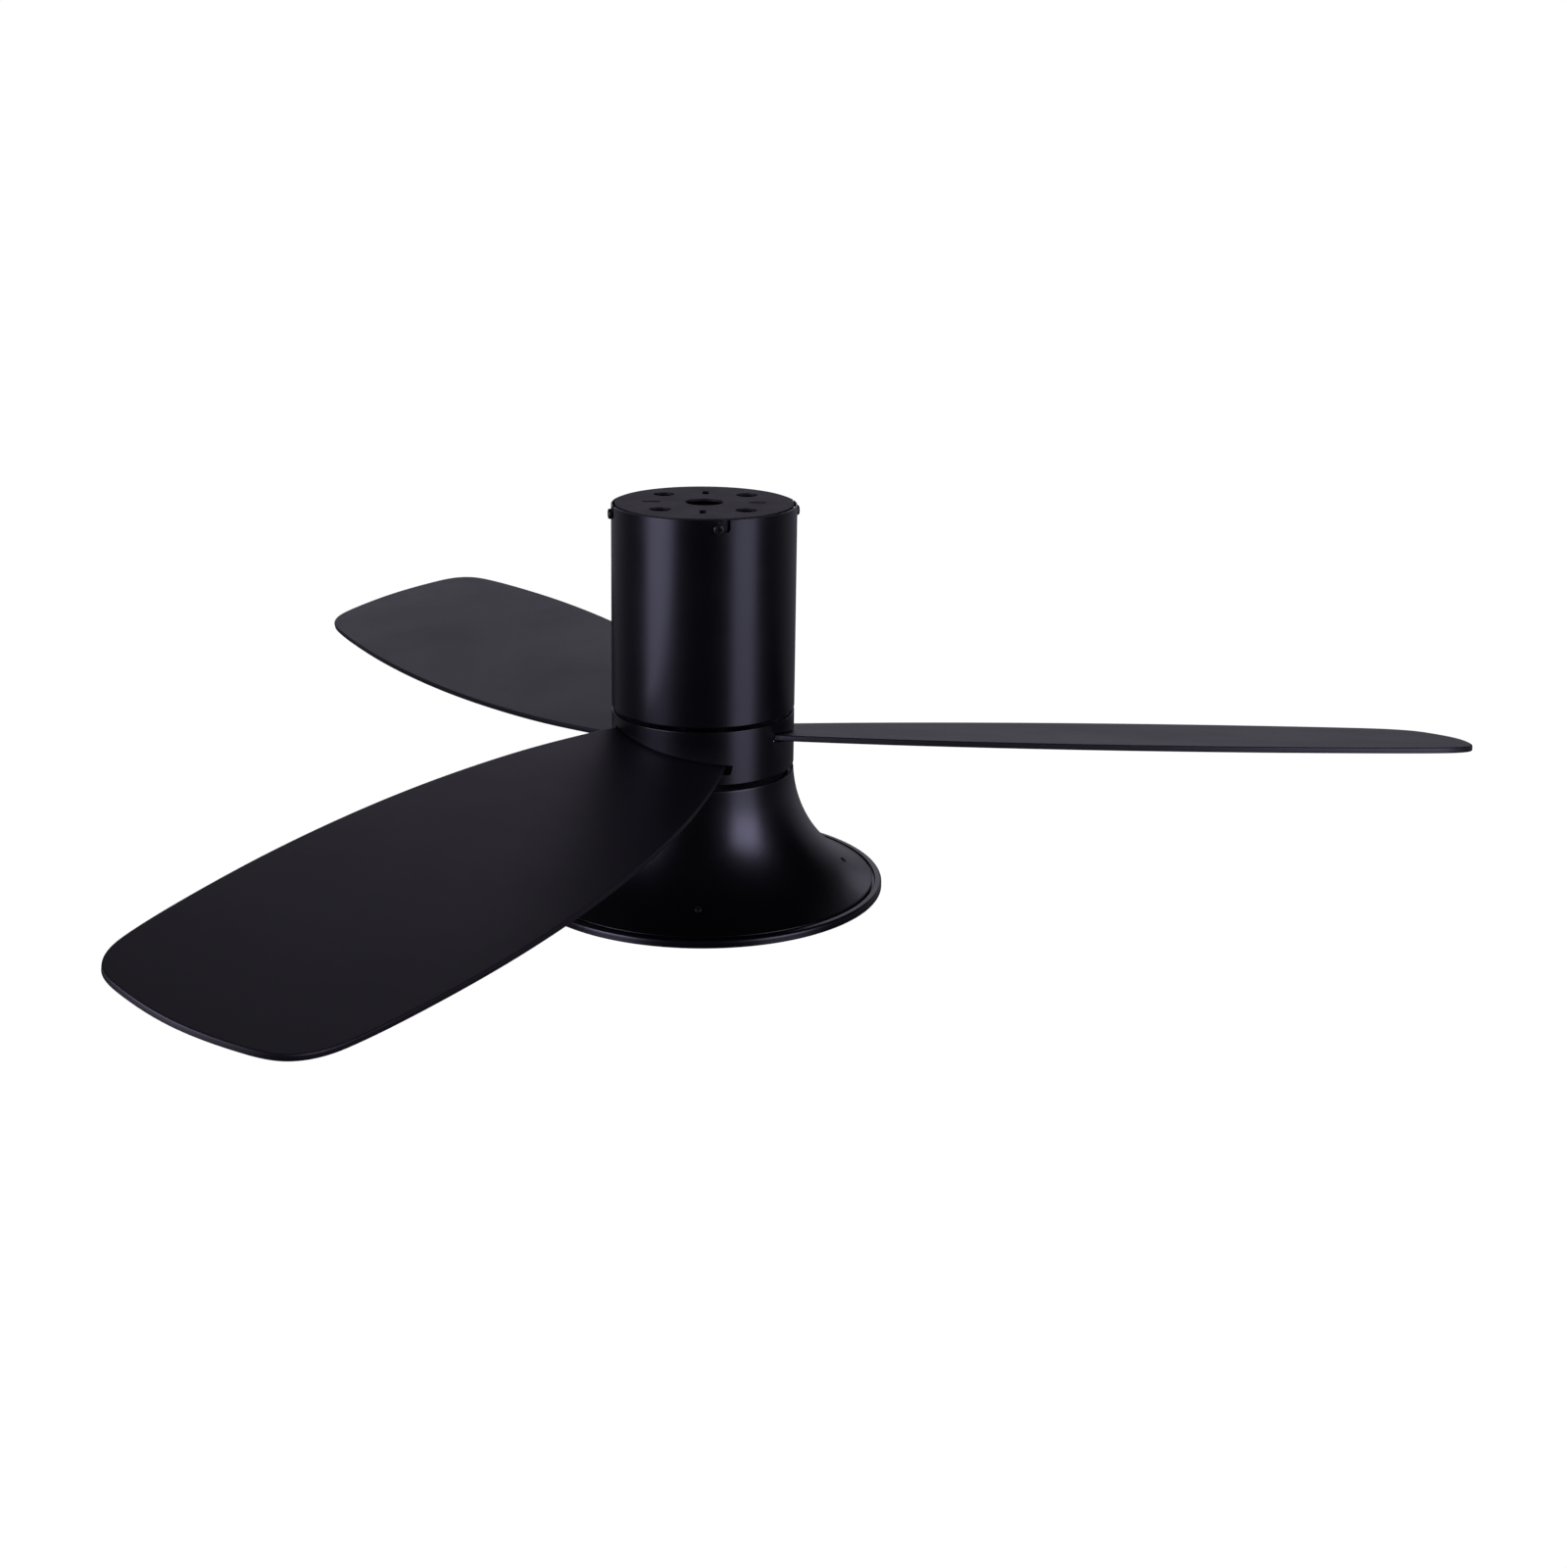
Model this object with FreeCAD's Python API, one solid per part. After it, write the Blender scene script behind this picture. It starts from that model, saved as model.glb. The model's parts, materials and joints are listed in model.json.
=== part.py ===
import FreeCAD, Part
import os
from math import acos, asin, cos, radians, sin, sqrt

# Flush-mount ceiling fan with a light, three blades, 1320 mm sweep. Millimetres.
# Origin: centre of the mounting plate's ceiling face. +Z is up, the fan hangs below z = 0.

V = FreeCAD.Vector
X_AXIS, Y_AXIS, Z_AXIS = V(1, 0, 0), V(0, 1, 0), V(0, 0, 1)

# Body: radii and heights of what shows from outside
BODY_R = 78.0                 # canopy and blade hub
CANOPY_TOP, CANOPY_BOTTOM = -1.0, -174.5
CANOPY_WALL = 1.2
HUB_TOP, HUB_BOTTOM = -178.0, -224.0
HUB_WALL, HUB_DECK = 3.0, -182.0       # the hub's deck lies below its top edge
SHADE_TOP, SHADE_BOTTOM = -229.4, -328.2
SHADE_WALL = 1.5
FLARE_R = 113.0               # the shade's outline is one arc, centred outside it
FLARE_CENTRE_R, FLARE_CENTRE_Z = 190.8, -223.7
RIM_R, RIM_INNER_R = 156.0, 150.2
RIM_TOP, RIM_BOTTOM = -328.4, -335.2

# Blades
BLADE_COUNT = 3
FIRST_BLADE_ANGLE = 3.2       # degrees from +X, at rest
BLADE_Z = -199.5
BLADE_PITCH, BLADE_DROOP = 11.1, 1.0
BLADE_THICKNESS = 5.0
BLADE_ROOT = 38.0
# distance from the axis and half width, root to tip
BLADE_HALF_OUTLINE = ((38, 44), (56, 51.5), (100, 65), (150, 77), (210, 87.5), (290, 96.8), (380, 101.4),
                      (460, 101), (540, 96.4), (598, 90.2), (626, 83.2), (644, 70), (654, 45), (659.7, 0))
BLADE_SCREW_SPOTS = ((46, -27), (46, 27), (57, 0))
SLOT_SIDES, SLOT_HEIGHT = (-53.5, 57.5), 8.3     # blade slots in the hub, across and along the axis

# Ceiling plate
PLATE_R, PLATE_THICKNESS, SKIRT_BOTTOM = 75.0, 2.0, -16.0
CABLE_HOLE_R = 16.0
CEILING_SPACING = 89.0
CEILING_SLOT_R, CEILING_SLOT_LENGTH = 2.75, 16.0
CANOPY_SCREW_Z, CANOPY_SCREW_ANGLE = -8.4, -80.0
BAYONET_TWIST = 5.3           # from the screws' locked place to the open stem of each slot
BAYONET_HALF_SLOT = 2.6

# Motor
DECK_TOP, DECK_THICKNESS = -92.0, 3.0
SHAFT_R, SHAFT_BORE_R, SHAFT_TOP = 8.5, 5.5, -89.0
THREAD_R, SHOULDER_Z, SHAFT_BOTTOM = 7.0, -230.0, -250.0
BEARING_R, BEARING_WIDTH = 20.0, 12.0
INNER_RACE_R, OUTER_RACE_R = 11.5, 17.0
BALL_R, BALL_COUNT = 3.375, 8
BALL_CIRCLE_R = (INNER_RACE_R + OUTER_RACE_R) / 2
BALL_PLAY = 0.05
UPPER_BEARING, LOWER_BEARING = -136.0, -172.0      # underside of each
STATOR_R, STATOR_BOTTOM, STATOR_TOP = 54.0, -161.0, -141.0
TOOTH_COUNT, MAGNET_COUNT = 12, 16
MAGNET_R0, MAGNET_R1, YOKE_R = 54.8, 58.8, 61.8
ROTOR_R, ROTOR_TOP, ROTOR_SPLIT, ROTOR_BOTTOM = 66.0, -122.0, -150.0, -174.0
ROTOR_SKIN = 3.0
ROTOR_SCREW_R, HUB_SCREW_R, EAR_R = 69.2, 35.0, 4.0
CABLE_Z_MOTOR = -139.5

# Light
PAN_FLOOR, PAN_WALL, PAN_R = -324.5, 1.5, 131.5
CHANNEL_TOP, CHANNEL_BOTTOM = -331.3, -332.8
SHADE_SCREW_R = 123.0
LUG_COUNT, LUG_ANGLE = 3, 14.0
LUG_TOP, LUG_THICKNESS = -330.2, 1.2
DIFFUSER_R, DIFFUSER_TOP, DIFFUSER_BOTTOM, DIFFUSER_WALL = 149.2, -333.1, -347.5, 2.2
LED_CIRCLES = ((30, 8), (60, 16), (90, 24), (112, 24))

# Wiring
WIRING_SCREW_SPOTS = ((-42, 36), (42, 36), (-27, -44), (27, -44))
EARTH_SPOT = (-46, -22)
BOX_X, BOX_Y0, BOX_Y1, BOX_TOP, BOX_WALL = 38.0, 24.0, 62.0, -56.0, 2.0
BOARD_Z = DECK_TOP + 6
LEAD_HOLES = ((2.4, -72, 2.0), (-2.4, -80, 1.5), (-14, -76, 1.6), (14, -76, 1.6))     # x, z, radius
LED_LEAD_SPOT = (6, 19)
DRIVER_SCREW_SPOTS = ((-50, 48), (50, 48))

# Heights that follow from the ones above
RING_SPOTS = (UPPER_BEARING + BEARING_WIDTH + 0.1, LOWER_BEARING - 1.4)     # shaft grooves
FLANGE_TOP, FLANGE_THICKNESS = SHOULDER_Z - 2.5, 1.8
BOARD_TOP = PAN_FLOOR - PAN_WALL

GAP = 0.05                    # play around screws and in slip fits


def cylinder(r, low, high, x=0.0, y=0.0):
    return Part.makeCylinder(r, high - low, V(x, y, low))


def ring(inner, outer, low, high):
    return cylinder(outer, low, high).cut(cylinder(inner, low - 1, high + 1))


def block(x0, x1, y0, y1, z0, z1):
    return Part.makeBox(x1 - x0, y1 - y0, z1 - z0, V(x0, y0, z0))


def spin(shape, angle, axis=Z_AXIS):
    return shape.rotated(V(), axis, angle)


def polar(r, angle, z=0.0):
    return V(r * cos(radians(angle)), r * sin(radians(angle)), z)


def around(shape, count, first=0.0):
    return [spin(shape, first + i * 360.0 / count) for i in range(count)]


def fuse(first, *others):
    return first.multiFuse(list(others)).removeSplitter()


def group(solids):
    return Part.makeCompound(list(solids))


def turned(points):
    """Solid of revolution about Z of a polygon of (radius, z) points."""
    corners = [V(r, 0, z) for r, z in points]
    face = Part.Face(Part.makePolygon(corners + corners[:1]))
    return face.revolve(V(), Z_AXIS, 360)


def turned_edges(edges):
    face = Part.Face(Part.Wire(Part.__sortEdges__(edges)))
    return face.revolve(V(), Z_AXIS, 360)


def placed(shape, at, direction):
    """Shape built along +Z, moved so that its +Z points along direction."""
    out = shape.copy()
    out.Placement = FreeCAD.Placement(at, FreeCAD.Rotation(Z_AXIS, direction))
    return out


def wedge(angle, low, high):
    """Slice of the given angle between two heights, centred on +X."""
    tip = V(0, 0, low)
    far = [polar(200, a, low) for a in (-angle / 2, angle / 2)]
    return Part.Face(Part.makePolygon([tip] + far + [tip])).extrude(V(0, 0, high - low))


def cross_recess(size, depth):
    bar = block(-size, size, -size / 5, size / 5, -depth, 1)
    return bar.fuse(spin(bar, 90))


def pan_screw(r, length, head_r, head_height):
    """Head stands above z = 0 with a domed edge and a cross recess, shank points down."""
    head = cylinder(head_r, 0, head_height)
    head = head.makeFillet(head_height * 0.55, [e for e in head.Edges if e.Vertexes[0].Z > head_height - 0.01
                                                and len(e.Vertexes) == 1])
    recess = cross_recess(head_r * 0.55, head_height * 0.6)
    recess.translate(V(0, 0, head_height))
    return fuse(head, cylinder(r, -length, 0)).cut(recess)


def hex_screw(r, length, flats, head_height):
    corners = [polar(flats / sqrt(3), 60 * i) for i in range(7)]
    head = Part.Face(Part.makePolygon(corners)).extrude(V(0, 0, head_height))
    crown = turned([(0, 0), (flats * 0.6, 0), (flats * 0.6, head_height * 0.7), (flats * 0.46, head_height),
                    (0, head_height)])
    return fuse(head.common(crown), cylinder(r, -length, 0))


def hex_nut(bore, flats, height):
    corners = [polar(flats / sqrt(3), 60 * i) for i in range(7)]
    nut = Part.Face(Part.makePolygon(corners)).extrude(V(0, 0, height))
    return nut.cut(cylinder(bore, -1, height + 1))


def tube_along(points, r, bend):
    """Round lead along straight runs joined by tangent arcs."""
    spots = [V(*p) for p in points]
    edges, start = [], spots[0]
    for before, here, after in zip(spots, spots[1:], spots[2:]):
        back, on = (before - here).normalize(), (after - here).normalize()
        half = acos(max(-1.0, min(1.0, back.dot(on)))) / 2
        reach = bend / (sin(half) / cos(half))
        enter, leave = here + back * reach, here + on * reach
        to_centre = (back + on).normalize()
        middle = here + to_centre * (bend / sin(half) - bend)
        edges.append(Part.LineSegment(start, enter).toShape())
        edges.append(Part.Arc(enter, middle, leave).toShape())
        start = leave
    edges.append(Part.LineSegment(start, spots[-1]).toShape())
    section = Part.Wire(Part.Circle(spots[0], spots[1] - spots[0], r).toShape())
    return Part.Wire(edges).makePipeShell([section], True, False)


def in_blade(shape, index):
    """Blade frame to world: X runs out along the blade, Y across it, Z off its upper face."""
    turn = FreeCAD.Rotation(Z_AXIS, FIRST_BLADE_ANGLE + index * 360.0 / BLADE_COUNT)
    turn = turn * FreeCAD.Rotation(X_AXIS, -BLADE_PITCH) * FreeCAD.Rotation(Y_AXIS, BLADE_DROOP)
    out = shape.copy()
    out.Placement = FreeCAD.Placement(V(0, 0, BLADE_Z), turn).multiply(shape.Placement)
    return out


# ---------------------------------------------------------------- ceiling mount

def mounting_plate():
    plate = turned([(0, 0), (PLATE_R, 0), (PLATE_R, SKIRT_BOTTOM), (PLATE_R - PLATE_THICKNESS, SKIRT_BOTTOM),
                    (PLATE_R - PLATE_THICKNESS, -PLATE_THICKNESS), (0, -PLATE_THICKNESS)])
    plate = plate.cut(cylinder(CABLE_HOLE_R, -5, 5))
    reach = CEILING_SLOT_LENGTH / 2 - CEILING_SLOT_R
    middle = CEILING_SPACING / 2
    ends = [cylinder(CEILING_SLOT_R, -5, 5, middle + side * reach) for side in (-1, 1)]
    slot = fuse(block(middle - reach, middle + reach, -CEILING_SLOT_R, CEILING_SLOT_R, -5, 5), *ends)
    lightening = cylinder(9, -5, 5, 50)
    screw_hole = placed(cylinder(2 + GAP, -8, 8), polar(PLATE_R, 0, CANOPY_SCREW_Z), X_AXIS)
    return plate.cut(group(around(slot, 4) + around(lightening, 4, 45)
                           + around(screw_hole, 4, CANOPY_SCREW_ANGLE)))


def canopy_screws():
    screw = pan_screw(2.0, 7.0, 4.4, 2.9)
    seated = placed(screw, polar(BODY_R + GAP, 0, CANOPY_SCREW_Z), X_AXIS)
    return group(around(seated, 4, CANOPY_SCREW_ANGLE))


# ---------------------------------------------------------------- fixed housing

def canopy():
    """Steel tube with a rolled-in lower lip and four bayonet slots at its top."""
    inner = BODY_R - CANOPY_WALL
    shell = turned([(BODY_R - 1, CANOPY_TOP), (BODY_R, CANOPY_TOP - 1), (BODY_R, CANOPY_BOTTOM + 1),
                    (BODY_R - 1, CANOPY_BOTTOM), (BODY_R - 3.6, CANOPY_BOTTOM),
                    (BODY_R - 3.6, CANOPY_BOTTOM + CANOPY_WALL), (inner, CANOPY_BOTTOM + CANOPY_WALL),
                    (inner, CANOPY_TOP)])
    h = BAYONET_HALF_SLOT
    run = 2 * BODY_R * sin(radians(BAYONET_TWIST / 2))
    end = placed(cylinder(h, -6, 6), V(BODY_R, 0, CANOPY_SCREW_Z), X_AXIS)
    elbow = spin(end, BAYONET_TWIST)
    hook = spin(block(BODY_R - 6, BODY_R + 6, -run / 2, run / 2, CANOPY_SCREW_Z - h, CANOPY_SCREW_Z + h),
                BAYONET_TWIST / 2)
    stem = spin(block(BODY_R - 6, BODY_R + 6, -h, h, CANOPY_SCREW_Z, 5), BAYONET_TWIST)
    return shell.cut(group(around(fuse(end, elbow, hook, stem), 4, CANOPY_SCREW_ANGLE)))


def motor_deck():
    """Round plate welded inside the canopy: it carries the motor and the wiring."""
    outer, low = BODY_R - CANOPY_WALL - GAP, DECK_TOP - DECK_THICKNESS
    deck = turned([(SHAFT_R + 1.5, low), (outer, low), (outer, DECK_TOP + 12), (outer - 2, DECK_TOP + 12),
                   (outer - 2, DECK_TOP), (SHAFT_R + 1.5, DECK_TOP)])
    flange_hole = cylinder(2.5 + GAP, low - 1, DECK_TOP + 1, 24)
    vent = cylinder(7, low - 1, DECK_TOP + 1, 60)
    return deck.cut(group(around(flange_hole, 4, 45) + around(vent, 4, 0)
                          + [cylinder(1.5 + GAP, low - 1, DECK_TOP + 1, x, y) for x, y in WIRING_SCREW_SPOTS]
                          + [cylinder(2 + GAP, low - 1, DECK_TOP + 1, *EARTH_SPOT)]))


def receiver_box():
    shell = block(-BOX_X, BOX_X, BOX_Y0, BOX_Y1, DECK_TOP, BOX_TOP)
    inside = block(-BOX_X + BOX_WALL, BOX_X - BOX_WALL, BOX_Y0 + BOX_WALL, BOX_Y1 - BOX_WALL,
                   DECK_TOP + BOX_WALL, BOX_TOP + 1)
    ears = [block(s * BOX_X if s > 0 else -BOX_X - 9, BOX_X + 9 if s > 0 else -BOX_X, 29, 43,
                  DECK_TOP, DECK_TOP + 2.5) for s in (-1, 1)]
    posts = [block(x - 3, x + 3, y - 3, y + 3, DECK_TOP + 1, DECK_TOP + 6)
             for x in (-30, 30) for y in (31, 55)]
    body = fuse(shell.cut(inside), *ears, *posts)
    holes = [cylinder(1.5 + GAP, DECK_TOP - 1, DECK_TOP + 4, x, y) for x, y in WIRING_SCREW_SPOTS[:2]]
    leads = [placed(cylinder(r, -4, 4), V(x, BOX_Y0, z), Y_AXIS) for x, z, r in LEAD_HOLES]
    return body.cut(group(holes + leads))


def receiver_lid():
    top = block(-BOX_X, BOX_X, BOX_Y0, BOX_Y1, BOX_TOP, BOX_TOP + 2)
    w = BOX_WALL + GAP * 2
    lip = block(-BOX_X + w, BOX_X - w, BOX_Y0 + w, BOX_Y1 - w, BOX_TOP - 2.5, BOX_TOP)
    lip = lip.cut(block(-BOX_X + w + 1.5, BOX_X - w - 1.5, BOX_Y0 + w + 1.5, BOX_Y1 - w - 1.5,
                        BOX_TOP - 3, BOX_TOP))
    return fuse(top, lip)


def receiver_board():
    return block(-34, 34, 27, 59, BOARD_Z, BOARD_Z + 1.6)


def receiver_parts():
    z = BOARD_Z + 1.6
    cans = [cylinder(5, z, z + 17, x, 52) for x in (-24, -12)]
    choke = ring(4, 9, z, z + 8)
    choke.translate(V(8, 49, 0))
    chips = [block(x, x + 7, 33, 39, z, z + 2) for x in (-26, -14, -3)]
    radio = block(19, 31, 34, 48, z, z + 3)
    plugs = [block(x, x + 8, 28, 32, z, z + 4) for x in (-32, 24)]
    return group(cans + [choke] + chips + [radio] + plugs)


def wiring_screws():
    screw = pan_screw(1.5, 5.5, 2.9, 2.0)
    seat = DECK_TOP + 2.5
    return group(placed(screw, V(x, y, seat), Z_AXIS) for x, y in WIRING_SCREW_SPOTS)


def terminal_block():
    """Three-pole block: a raised body between two fixing ears, with wire holes and screw wells."""
    body = fuse(block(-22, 22, -51, -37, DECK_TOP, DECK_TOP + 15),
                block(-32, 32, -49, -39, DECK_TOP, DECK_TOP + 2.5))
    cuts = [cylinder(1.5 + GAP, DECK_TOP - 1, DECK_TOP + 4, x, y) for x, y in WIRING_SCREW_SPOTS[2:]]
    for x in (-14, 0, 14):
        cuts.append(placed(cylinder(2.2, -12, 12), V(x, -44, DECK_TOP + 7), Y_AXIS))
        cuts += [cylinder(2.4, DECK_TOP + 7, DECK_TOP + 16, x, y) for y in (-47.5, -40.5)]
    return body.cut(group(cuts))


def terminal_screws():
    screw = pan_screw(1.4, 3.0, 2.2, 1.5)
    return group(placed(screw, V(x, y, DECK_TOP + 11), Z_AXIS) for x in (-14, 0, 14) for y in (-47.5, -40.5))


def earth_screw():
    return placed(hex_screw(2.0, 5.0, 7.0, 3.0), V(*EARTH_SPOT, DECK_TOP + 0.02), Z_AXIS)


def supply_leads():
    return group(tube_along([(x, -38.5, -85), (x, -24, -85), (x, -4, -76), (x, 26.5, -76)], 1.4, 10)
                 for x in (-14, 14))


def shaft_flange():
    """Cast collar under the deck that the fixed shaft hangs in."""
    low = DECK_TOP - DECK_THICKNESS
    body = turned([(SHAFT_R + GAP, low), (32, low), (32, low - 6), (17, low - 6), (15, low - 8),
                   (15, low - 22), (SHAFT_R + GAP, low - 22)])
    threads = around(cylinder(2.5 + GAP, low - 7, low + 1, 24), 4, 45)
    grub = around(placed(cylinder(3 + GAP, -3, 8), V(SHAFT_R + 2.5, 0, low - 15), X_AXIS), 2, 90)
    return body.cut(group(threads + grub))


def flange_screws():
    screw = placed(hex_screw(2.5, 8.5, 8.0, 3.5), V(24, 0, DECK_TOP + 0.02), Z_AXIS)
    return group(around(screw, 4, 45))


def grub_screws():
    grub = cylinder(3.0, 0, 6).cut(hex_screw(0.5, 0.1, 3.0, 3.0).translated(V(0, 0, 3.5)))
    z = DECK_TOP - DECK_THICKNESS - 15
    return group(around(placed(grub, V(SHAFT_R + GAP, 0, z), X_AXIS), 2, 90))


def motor_shaft():
    """Hollow fixed shaft: thread and shoulder at the foot, ring grooves, window for the motor lead."""
    outer = turned([(SHAFT_BORE_R, SHAFT_TOP), (SHAFT_R - 1, SHAFT_TOP), (SHAFT_R, SHAFT_TOP - 1),
                    (SHAFT_R, SHOULDER_Z), (THREAD_R, SHOULDER_Z), (THREAD_R, SHAFT_BOTTOM + 1),
                    (THREAD_R - 1, SHAFT_BOTTOM), (SHAFT_BORE_R, SHAFT_BOTTOM)])
    grooves = [ring(SHAFT_R - 0.6, SHAFT_R + 1, z, z + 1.3) for z in RING_SPOTS]
    window = placed(cylinder(2.1, 0, 12), V(0, 0, CABLE_Z_MOTOR), V(-1, 0, 0))
    return outer.cut(group(grooves + [window]))


def retaining_rings():
    clip = ring(SHAFT_R - 0.5, SHAFT_R + 2.4, 0, 1.2).cut(block(0, 20, -2, 2, -1, 3))
    return group(clip.translated(V(0, 0, z + 0.05)) for z in RING_SPOTS)


def stator_hub():
    return ring(SHAFT_R + GAP, 28 - GAP, STATOR_BOTTOM + 3, STATOR_TOP - 2)


def stator_core():
    """Lamination stack: a yoke with twelve teeth that widen into pole shoes."""
    yoke = ring(28, 34, STATOR_BOTTOM, STATOR_TOP)
    tooth = block(33, 50, -4, 4, STATOR_BOTTOM, STATOR_TOP)
    shoe = ring(50, STATOR_R, STATOR_BOTTOM, STATOR_TOP)
    gap = block(40, 60, -1.5, 1.5, STATOR_BOTTOM - 1, STATOR_TOP + 1)
    shoe = shoe.cut(group(around(gap, TOOTH_COUNT, 180.0 / TOOTH_COUNT)))
    return fuse(yoke, shoe, *around(tooth, TOOTH_COUNT))


def stator_insulators():
    """One end cap above and one below the laminations, with a liner arm on each tooth."""
    caps = []
    for z in (STATOR_TOP, STATOR_BOTTOM - 1.0):
        arms = around(block(33, 51, -4.6, 4.6, z, z + 1.0), TOOTH_COUNT)
        notch = block(-32, -28, -2, 2, z - 1, z + 2)
        caps.append(fuse(ring(29, 34.5, z, z + 1.0), *arms).cut(notch))
    return group(caps)


def stator_windings():
    """One coil around each tooth, as a rounded loop."""
    high, low = STATOR_TOP + 1.0 + GAP, STATOR_BOTTOM - 1.0 - GAP
    loop = block(35.2, 49, -7.0, 7.0, low - 3.6, high + 3.6)
    loop = loop.makeFillet(3.0, [e for e in loop.Edges if abs(e.Vertexes[0].X - e.Vertexes[1].X) > 5])
    coil = loop.cut(block(30, 52, -4.7, 4.7, low, high))
    taper = turned([(30, low - 5), (35, low - 5), (35, high + 5), (30, high + 5)])
    return group(around(coil.cut(taper), TOOTH_COUNT))


def half_bearings(inner, outer):
    """Race ring of both bearings, with its ball groove."""
    groove = Part.makeTorus(BALL_CIRCLE_R, BALL_R + BALL_PLAY)
    race = ring(inner, outer, -BEARING_WIDTH / 2, BEARING_WIDTH / 2).cut(groove)
    return group(race.translated(V(0, 0, z + BEARING_WIDTH / 2)) for z in (UPPER_BEARING, LOWER_BEARING))


def bearing_shields():
    plate = ring(INNER_RACE_R + 0.4, OUTER_RACE_R - GAP, 0, 0.5)
    spots = [z + dz for z in (UPPER_BEARING, LOWER_BEARING) for dz in (0.4, BEARING_WIDTH - 0.9)]
    return group(plate.translated(V(0, 0, z)) for z in spots)


def bearing_balls():
    ball = Part.makeSphere(BALL_R, V(BALL_CIRCLE_R, 0, BEARING_WIDTH / 2))
    return group(b.translated(V(0, 0, z)) for z in (UPPER_BEARING, LOWER_BEARING)
                 for b in around(ball, BALL_COUNT))


def bearing_cages():
    band = ring(BALL_CIRCLE_R - 1, BALL_CIRCLE_R + 1, 1.8, BEARING_WIDTH - 1.8)
    pocket = placed(cylinder(BALL_R + BALL_PLAY, -5, 5), V(BALL_CIRCLE_R, 0, BEARING_WIDTH / 2), X_AXIS)
    cage = band.cut(group(around(pocket, BALL_COUNT)))
    return group(cage.translated(V(0, 0, z)) for z in (UPPER_BEARING, LOWER_BEARING))


def light_bracket():
    """Steel disc clamped on the shaft's shoulder; the shade hangs from it."""
    disc = ring(THREAD_R + GAP, 73, SHOULDER_Z - 2.5, SHOULDER_Z)
    return disc.cut(group(around(cylinder(2 + GAP, -240, -220, 60), 4, 45)
                          + around(cylinder(11, -240, -220, 36), 4)))


def shaft_washer():
    return ring(THREAD_R + GAP, 14, SHOULDER_Z - 4.5, SHOULDER_Z - 2.5)


def shaft_nut():
    return hex_nut(THREAD_R + GAP, 22, 8).translated(V(0, 0, SHOULDER_Z - 12.5))


def cable_grommet():
    body = fuse(cylinder(SHAFT_BORE_R - GAP, SHAFT_BOTTOM - 1, SHAFT_BOTTOM + 4),
                cylinder(THREAD_R, SHAFT_BOTTOM - 2.5, SHAFT_BOTTOM - GAP))
    return body.cut(cylinder(1.95, SHAFT_BOTTOM - 4, SHAFT_BOTTOM + 6, 2.4))


def flare_spot(height_z, offset=0.0):
    """Point of the flare's arc at a height, as (radius, z); offset moves it to the inner face."""
    swing = asin((FLARE_CENTRE_Z - height_z) / FLARE_R)
    r = FLARE_R + offset
    return FLARE_CENTRE_R - r * cos(swing), FLARE_CENTRE_Z - r * sin(swing)


def flare_arc(top_z, bottom_z, offset):
    ends = [flare_spot(z, offset) for z in (top_z, (top_z + bottom_z) / 2, bottom_z)]
    return Part.Arc(*[V(r, 0, z) for r, z in ends]).toShape()


def line(a, b):
    return Part.LineSegment(V(a[0], 0, a[1]), V(b[0], 0, b[1])).toShape()


def inside_shade(play):
    """Everything within the shade's inner face, as one solid."""
    top, bottom = (flare_spot(z, SHADE_WALL + play) for z in (SHADE_TOP, SHADE_BOTTOM))
    return turned_edges([flare_arc(SHADE_TOP, SHADE_BOTTOM, SHADE_WALL + play), line(bottom, (0, bottom[1])),
                         line((0, bottom[1]), (0, top[1])), line((0, top[1]), top)])


def shade_screw_frame():
    """Where a side screw's head seats on the flare, and the flare's outward normal there."""
    drop = sqrt(FLARE_R ** 2 - (FLARE_CENTRE_R - SHADE_SCREW_R) ** 2)
    seat = V(SHADE_SCREW_R, 0, FLARE_CENTRE_Z - drop)
    return seat, (V(FLARE_CENTRE_R, 0, FLARE_CENTRE_Z) - seat).normalize()


def light_shade():
    """Trumpet-shaped spun shade with an inner flange at its top."""
    outer_top, outer_end = (flare_spot(z) for z in (SHADE_TOP, SHADE_BOTTOM))
    inner_top, inner_end = (flare_spot(z, SHADE_WALL) for z in (SHADE_TOP, SHADE_BOTTOM))
    shell = turned_edges([flare_arc(SHADE_TOP, SHADE_BOTTOM, 0), line(outer_end, inner_end),
                          flare_arc(SHADE_TOP, SHADE_BOTTOM, SHADE_WALL), line(inner_top, outer_top)])
    flange = ring(40, flare_spot(FLANGE_TOP)[0] - SHADE_WALL / 2, FLANGE_TOP - FLANGE_THICKNESS, FLANGE_TOP)
    seat, normal = shade_screw_frame()
    holes = around(cylinder(2 + GAP, -240, -220, 60), 4, 45)
    holes += around(placed(cylinder(1.6, -6, 2), seat, normal), 4)
    return fuse(shell, flange).cut(group(holes))


def bracket_screws():
    screw = pan_screw(2.0, 4.5, 3.5, 2.2)
    seat = FLANGE_TOP - FLANGE_THICKNESS - 0.02
    return group(around(placed(screw, V(60, 0, seat), V(0, 0, -1)), 4, 45))


def shade_screws():
    seat, normal = shade_screw_frame()
    return group(around(placed(pan_screw(1.5, 9.0, 2.9, 0.8), seat + normal * 0.08, normal), 4))


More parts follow.
